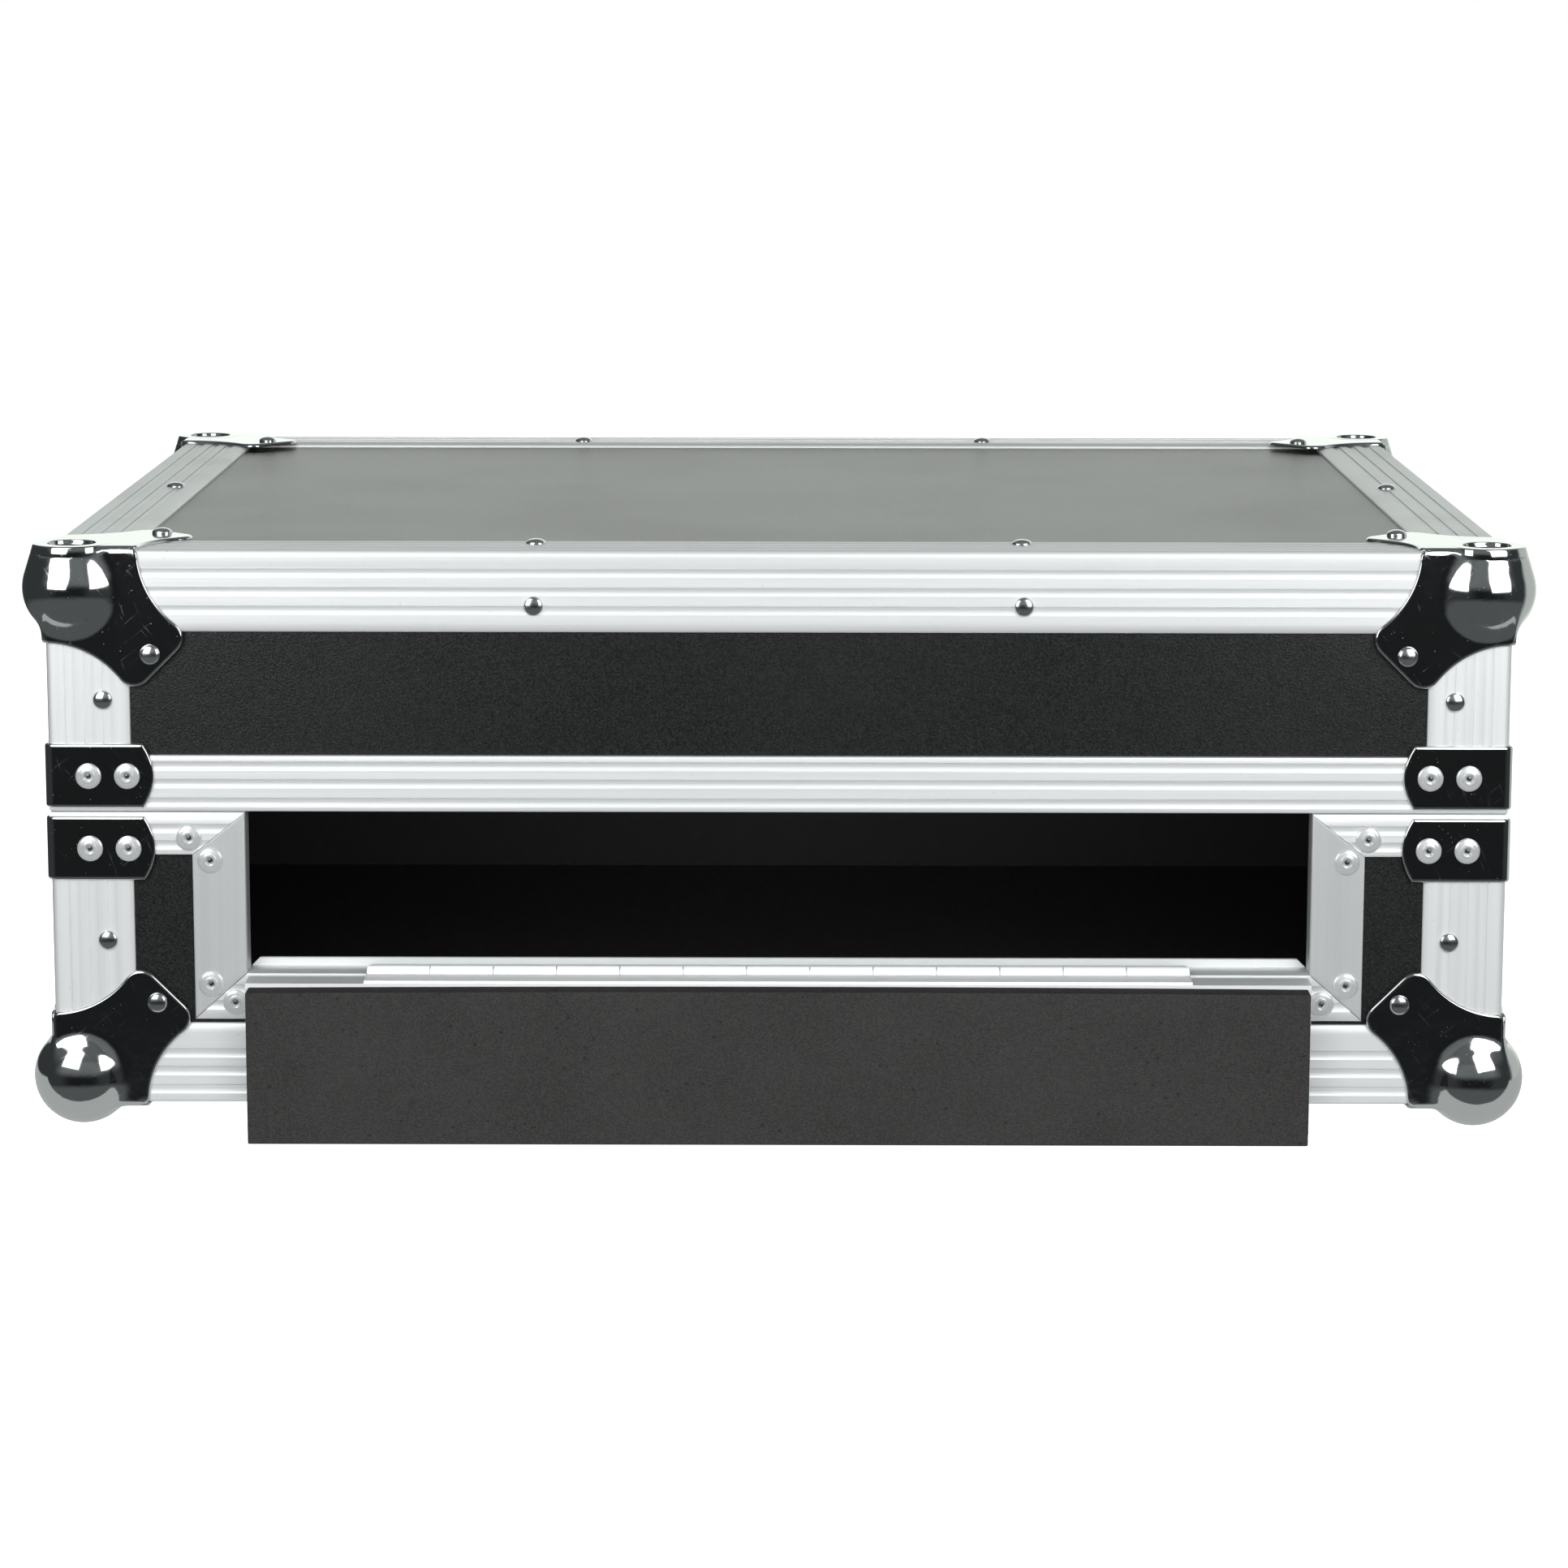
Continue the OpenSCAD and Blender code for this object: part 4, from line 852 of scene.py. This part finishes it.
def lathe(profile, steps):
    """Points and faces of a closed profile of radius and height turned round the z axis. Radius 0 makes a pole."""
    turn = np.linspace(0, 2 * math.pi, steps, endpoint=False)
    r, z = np.asarray(profile, float).T[..., None]
    r = np.maximum(r, POLE_R)
    points = np.stack([r * np.cos(turn), r * np.sin(turn), z + 0 * turn], -1)
    return points.reshape(-1, 3), grid_faces(len(profile), steps, closed=True).tolist()


def crown_profile():
    """The flat crown on an upper ball: a dish with rounded lips, a flat ring, a rounded rim and its band."""
    floor, lip, dish_lip, rim = DISH_DEPTH - PLATE_T, 0.5, 1.4, 0.8
    return np.concatenate([
        [(0, floor), (DISH_R - 1.6, floor)],
        arc((DISH_R - 1.6, floor - dish_lip), dish_lip, 90, 10, 5)[1:],
        arc((DISH_R + 0.35, lip - PLATE_T), lip, 180, 270, 5),
        arc((CROWN_R - rim, rim - PLATE_T), rim, 270, 360, 7),
        [(CROWN_R + 0.88, 2.2), (CROWN_R + 0.7, 2.6), (0, 2.6)]])


base_balls, lid_balls = Part(), Part()
lower, upper = PressedCorner(BALL_IN), CrownedCorner(UPPER_BALL_Z)
crown, crown_faces = lathe(crown_profile(), 72)
for side in SIDES:
    lower.add_to(base_balls, partial(at_corner, side=side))
    upper.add_to(lid_balls, partial(at_corner, side=side, hung=True))
    lid_balls.add(at_corner(crown + (BALL_IN, BALL_IN, 0), side, hung=True), crown_faces)
for body, balls in (("base", base_balls), ("lid", lid_balls)):
    balls.stand_in(f"{body}_ball_corners", "pressed", chrome, body, "chrome", crease=60, weld=True)


BRACE_H, BRACE_GAP = 23.6, 1.4
BRACE_REACH, BRACE_WAIST, BRACE_LIFT = 38.5, 4.0, 0.02


def brace_part(foot):
    """Braces round the four vertical edges, up from a height. A brace is a grid over the way round the corner and
    its height; its reach at height share v is the full reach less the waist times (1 - 2v)^2, and it stands as
    proud as its sheet is thick, less the fall of its rolled edges."""
    near = np.array(NEAR_EDGE + (1.6,))
    v = np.concatenate([near, np.linspace(2.6, BRACE_H - 2.6, 15), BRACE_H - near[::-1]]) / BRACE_H
    end = (BRACE_REACH - BRACE_WAIST * (1 - 2 * v) ** 2 - CORNER_R)[:, None]
    straight = np.concatenate([np.linspace(0, end[:, 0] - 1.8, 8, axis=-1), end - near[::-1]], -1)
    bend = np.linspace(0, math.pi / 4, 7)[1:]
    legs, half = straight.shape[1], straight.shape[1] + len(bend)
    base = np.zeros((len(v), 2 * half - 1, 3))
    way = np.zeros_like(base)
    # The leg along x from its end to the bend, then the bend to its middle; the other leg is its mirror image
    base[:, :legs, 0] = CORNER_R + straight[:, ::-1]
    way[:, :legs, 1] = -1
    way[:, legs:half, 0], way[:, legs:half, 1] = -np.sin(bend), -np.cos(bend)
    base[:, legs:half, :2] = CORNER_R + CORNER_R * way[:, legs:half, :2]
    for grid in (base, way):
        grid[:, half:] = grid[:, half - 2::-1][..., [1, 0, 2]]
    base[..., 2] = (v * BRACE_H)[:, None]
    to_edge = np.full(base.shape[:2], FAR)
    to_edge[:, :legs] = (end - straight)[:, ::-1]
    to_edge[:, -legs:] = to_edge[:, legs - 1::-1]
    to_edge = np.minimum(to_edge, (np.minimum(v, 1 - v) * BRACE_H)[:, None])
    outer = base + way * (PLATE_T - roll_drop(to_edge))[..., None]
    inner = base + way * BRACE_LIFT
    rows, columns = outer.shape[:2]
    quads, n = grid_faces(rows, columns), rows * columns
    loop = np.concatenate([np.arange(columns), np.arange(1, rows) * columns + columns - 1,
                           np.arange(n - 2, n - columns - 1, -1), np.arange(rows - 2, 0, -1) * columns])
    following = np.roll(loop, -1)
    border = np.stack([following, following + n, loop + n, loop], -1)
    faces = np.concatenate([quads, quads[:, ::-1] + n, border]).tolist()
    shell = np.concatenate([outer.reshape(-1, 3), inner.reshape(-1, 3)]) + (0, 0, foot)
    part = Part()
    for side in SIDES:
        part.add(at_corner(shell, side), faces)
    return part


brace_feet = {"base": BASE_H - BRACE_GAP - BRACE_H, "lid": LID_Z + BRACE_GAP}
for body, foot in brace_feet.items():
    brace_part(foot).stand_in(f"{body}_corner_braces", "rolled", chrome, body, "chrome", crease=60)


# ---- Rivets ----------------------------------------------------------------

OUT, UP, SIDEWAYS = (0, -1, 0), (0, 0, -1), (-1, 0, 0)
DOME_R, DOME_H, DOME_SKIRT = 3.7, 2.2, 0.35
DOME_AT, LEG_DOME_AT = 20.3, 38.0
EDGE_DOMES_X = 88.5
BLIND_AT = (14.7, 28.7)
FRAME_BLINDS = ((214.5, 99.0), (206.9, 90.7), (207.3, 44.8), (198.5, 37.9))
# How deep the heads sit in the lined faces, in the pressed legs, and in the braces and the frame
SUNK, LEG_SUNK, BLIND_SUNK = 0.3, 0.05, 0.02


def dome_profile():
    """A pressed dome: a low cap on a short rounded skirt."""
    a = np.linspace(0, math.pi / 2, 10)
    cap = np.stack([DOME_R * np.sin(a), DOME_SKIRT + (DOME_H - DOME_SKIRT) * np.cos(a)], -1)
    return np.concatenate([cap, [(DOME_R, DOME_SKIRT), (DOME_R, 0.0), (0, 0)]])


def blind_profile():
    """A blind rivet: a domed flange, a raised ring and the hollow left by its mandrel."""
    a = np.linspace(0.15, math.pi / 2, 7)
    flange = np.stack([2.6 + 2.1 * np.sin(a), 0.25 + 0.95 * np.cos(a)], -1)
    return np.concatenate([[(0, 0.25), (1.35, 0.25), (1.42, 0.9)], arc((1.80, 1.12), 0.38, 180, 90, 4),
                           arc((2.25, 1.2), 0.3, 90, 20, 3), flange, [(4.7, 0.0), (0, 0)]])


# The broken end of a blind rivet's mandrel, down in the hollow. Its steel is darkened, partly its own dull tone and
# partly painted shade for the shadow in the hollow
MANDREL = ((0, 0.78), (0.5, 0.74), (0.85, 0.6), (1.0, 0.5), (1.0, 0.2), (0, 0.2))

DOME, BLIND, STUB = lathe(dome_profile(), 24), lathe(blind_profile(), 28), lathe(MANDREL, 14)


def facing(points, way, at):
    """Turns points standing on z = 0 to stand along an axis, given as a unit vector, at a place."""
    across = np.cross(way, (0.0, 0.0, 1.0)) if abs(way[2]) < 0.9 else np.array([1.0, 0.0, 0.0])
    return points @ np.stack([across, np.cross(way, across), way]) + at


def corner_domes():
    """Dome rivets on the three legs of a ball corner, in the corner at the origin."""
    t, r = PLATE_T - LEG_SUNK, LEG_DOME_AT
    return [((r, r, -t), UP), ((r, -t, r), OUT), ((-t, r, r), SIDEWAYS)]


def edge_domes(side):
    """Dome rivets of an edge extrusion, along a side."""
    places = (-EDGE_DOMES_X, EDGE_DOMES_X) if side % 2 == 0 else (0.0,)
    return [((x, SUNK, DOME_AT), OUT) for x in places] + [((x, DOME_AT, SUNK), UP) for x in places]


def post_domes(z):
    return [((DOME_AT, SUNK, z), OUT), ((SUNK, DOME_AT, z), SIDEWAYS)]


def brace_blinds(z):
    t = PLATE_T - BLIND_SUNK
    return [head for along in BLIND_AT for head in (((along, -t, z), OUT), ((-t, along, z), SIDEWAYS))]


def rivet_part(head, placed):
    """Rivet heads at places, which are given as functions that put points in place, each with its heads."""
    part = Part()
    points, faces = head
    for put, heads in placed:
        for at, way in heads:
            part.add(put(facing(points, way, at)), faces)
    return part


for body, hung, post_z in (("base", False, 61.0), ("lid", True, 149.8)):
    corners = [partial(at_corner, side=side) for side in SIDES]
    domes = [(partial(at_corner, side=side, hung=hung), corner_domes()) for side in SIDES]
    domes += [(corner, post_domes(post_z)) for corner in corners]
    domes += [(partial(on_side, side=side, hung=hung), edge_domes(side)) for side in SIDES]
    blinds = [(corner, brace_blinds(brace_feet[body] + BRACE_H / 2)) for corner in corners]
    if body == "base":
        heads = [((way * x, BLIND_SUNK, z), OUT) for way in (-1, 1) for x, z in FRAME_BLINDS]
        blinds.append((partial(on_side, side=REAR), heads))
    rivet_part(DOME, domes).stand_in(f"{body}_dome_rivets", "turned", rivet_plate, body, "rivet", weld=True)
    rivet_part(STUB, blinds).build(f"{body}_rivet_mandrels", mandrel_steel_painted_shade, body, weld=True)
    rivet_part(BLIND, blinds).stand_in(f"{body}_blind_rivets", "turned", blind_plate, body, "rivet", weld=True)


# ---- Foam ------------------------------------------------------------------

FOAM_STEP = 4.0
EDGE_STEPS = np.array([0.0, 0.3, 0.8, 1.4, 2.0])


def spread(length, edge):
    """Places from -1 to 1 over a length, even in the middle and close together near both ends."""
    even = np.linspace(-1, 1, max(4, int(round(length / FOAM_STEP)) + 1))
    fine = 1 - EDGE_STEPS * edge / (length / 2)
    return np.unique(np.concatenate([even[np.abs(even) < fine[-1]], fine, -fine]))


def foam_block(low, high, edge, bow):
    """A foam block whose six faces are grids. Points nearer than the edge radius to two faces move onto a quarter
    round; the top edge falls by bow times the square of the share of the half width."""
    size, middle = high - low, (high + low) / 2
    points, faces, first = [], [], 0
    for axis in range(3):
        a, b = (axis + 1) % 3, (axis + 2) % 3
        u, v = np.meshgrid(spread(size[a], edge), spread(size[b], edge), indexing="ij")
        for way in (-1, 1):
            p = np.zeros((*u.shape, 3))
            p[..., a], p[..., b], p[..., axis] = u * size[a] / 2, v * size[b] / 2, way * size[axis] / 2
            core = np.clip(p, -(size / 2 - edge), size / 2 - edge)
            out = p - core
            length = np.linalg.norm(out, axis=-1, keepdims=True)
            p = core + out / np.maximum(length, 1e-12) * np.minimum(edge, length)
            share = p[..., 0] / (size[0] / 2)
            p[..., 2] -= bow * share ** 2 * (p[..., 2] / size[2] + 0.5)
            points.append(p.reshape(-1, 3))
            quads = grid_faces(*u.shape)
            faces += ((quads if way > 0 else quads[:, ::-1]) + first).tolist()
            first += u.size
    return np.concatenate(points) + middle, faces


for node, material, body, fill, edge, bow, rise in (
        ("flap_foam", foam, "flap", 0.9, 0.5, 0.7, 1.9), ("lid_lining", lining_foam, "lid", 0.8, 2.0, 0.0, 0.0)):
    low, high = (np.array(corner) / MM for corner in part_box(node))
    block = Part(*foam_block(low, high + (0, 0, rise), edge, bow))
    pad = block.stand_in(node, "pad", material, body, "foam", crease=70, weld=True)


# ---- Studio, in metres -----------------------------------------------------

CAMERA_PLACE = Vector((0.0075, -1.8627, 0.4169))
CAMERA_YAW, CAMERA_PITCH, CAMERA_ROLL = (math.radians(angle) for angle in (-0.19, -9.89, -0.08))
LENS = 106.2

camera_data = bpy.data.cameras.new("camera")
camera_data.lens = LENS
camera_data.sensor_width = 36
camera_data.clip_start = 0.05
camera = bpy.data.objects.new("camera", camera_data)
camera.matrix_world = (
    Matrix.Translation(CAMERA_PLACE)
    @ Matrix.Rotation(-CAMERA_YAW, 4, "Z")
    @ Matrix.Rotation(math.pi / 2 + CAMERA_PITCH, 4, "X")
    @ Matrix.Rotation(-CAMERA_ROLL, 4, "Z")
)
bpy.context.scene.collection.objects.link(camera)
bpy.context.scene.camera = camera

AIM = Vector((0, 0, 0.1))


def softbox(name, direction, distance, width, height, radiance):
    """A rectangular area light that looks at the case from a direction. Its power is radiance times pi times its
    area, so that its mirror image is as bright as radiance."""
    light = bpy.data.lights.new(name, "AREA")
    light.shape = "RECTANGLE"
    light.size, light.size_y = width, height
    light.energy = radiance * math.pi * width * height
    made = bpy.data.objects.new(name, light)
    way = Vector(direction).normalized()
    made.location = AIM + way * distance
    made.rotation_euler = way.to_track_quat("Z", "Y").to_euler()
    bpy.context.scene.collection.objects.link(made)
    made.visible_camera = False
    return made


for side, name in ((-1, "softbox_left"), (1, "softbox_right")):
    near = softbox(name, (side * 0.39, -0.52, 0.31), distance=0.72, width=0.36, height=0.46, radiance=2.6)
    near.visible_diffuse = False
fill = softbox("fill", (0, -1.0, 0.29), distance=2.6, width=2.6, height=1.6, radiance=6.3)
fill.visible_glossy = False

FLOOR_HALF = 40.0
TABLE_FRONT, TABLE_HALF = -0.2245, 0.47


def stage_sheet(name, front, half, material):
    """A level sheet of a half width, from front to far behind the case."""
    mesh = bpy.data.meshes.new(name)
    mesh.from_pydata([(-half, front, 0), (half, front, 0), (half, FLOOR_HALF, 0), (-half, FLOOR_HALF, 0)],
                     [], [(0, 1, 2, 3)])
    mesh.materials.append(material)
    made = bpy.data.objects.new(name, mesh)
    bpy.context.scene.collection.objects.link(made)
    return made


# The floor is what the camera sees. The card stands for the pale table in the mirror of the chrome: it ends at the
# front of the case, and before it the room is dark.
paper = Finish("floor_paper", Base_Color=grey(0.85), Roughness=0.9, Emission_Color=grey(1.0), Emission_Strength=1.0)
floor = stage_sheet("floor", -FLOOR_HALF, FLOOR_HALF, paper.material)
floor.visible_glossy = False
floor.visible_diffuse = False
pale = Finish("table_card", Base_Color=grey(0.0), Roughness=1.0, Emission_Color=grey(1.0, (0.96, 1.0, 0.985)),
              Emission_Strength=0.50)
card = stage_sheet("table_card", TABLE_FRONT, TABLE_HALF, pale.material)
card.visible_camera = False
card.visible_shadow = False

world = bpy.data.worlds.new("studio")
bpy.context.scene.world = world
world.use_nodes = True


class Room(Finish):
    """The room round the case as a world shader: pale walls behind, half as bright towards the right, a grey
    ceiling, and dark towards the viewer and to the left. The camera itself sees the pale backdrop everywhere."""

    def __init__(self, tree):
        self.tree = tree
        tree.nodes.clear()


WALL, CEILING, UNDER = 1.10, 0.14, 0.11
DARK, RAISED, ABOVE = 0.014, 0.03, 0.15

room = Room(world.node_tree)
x, y, z = room.parts(room.node("ShaderNodeTexCoord", output="Generated"))
behind = (x * 0.5 + y * 0.87).step(0.46, 0.68)
low_down = (1.0 - z.step(0.30, 0.75)) * (1.0 - x.step(0.28, 0.75) * 0.5)
ceiling = z.step(0.15, 0.80)
under = 1.0 - z.step(-0.42, -0.18)
towards = 0.0 - (y * 0.985 + z * 0.17)
above = (0.0 - y).step(0.30, 0.80) * z.step(0.0, 0.25) * (1.0 - z.step(0.55, 0.80))
front = DARK + (1.0 - towards.step(0.62, 0.95)) * RAISED + above * ABOVE
level = (front + behind * low_down * WALL).at_least(ceiling * CEILING).at_least(under * UNDER)
tinted = room.blend(behind, grey(1.0, (0.93, 1.0, 1.03)), grey(1.0, (0.95, 1.0, 0.94)))
around = room.node("ShaderNodeBackground", None, {"Color": tinted, "Strength": level})
seen = room.node("ShaderNodeBackground", None, {"Color": grey(1.0)})
ray = room.node("ShaderNodeLightPath", output="Is Camera Ray")
shown = room.node("ShaderNodeMixShader", None, {0: ray, 1: around, 2: seen})
room.node("ShaderNodeOutputWorld", None, {"Surface": shown}, output=None)

bpy.context.scene.view_settings.view_transform = "Standard"
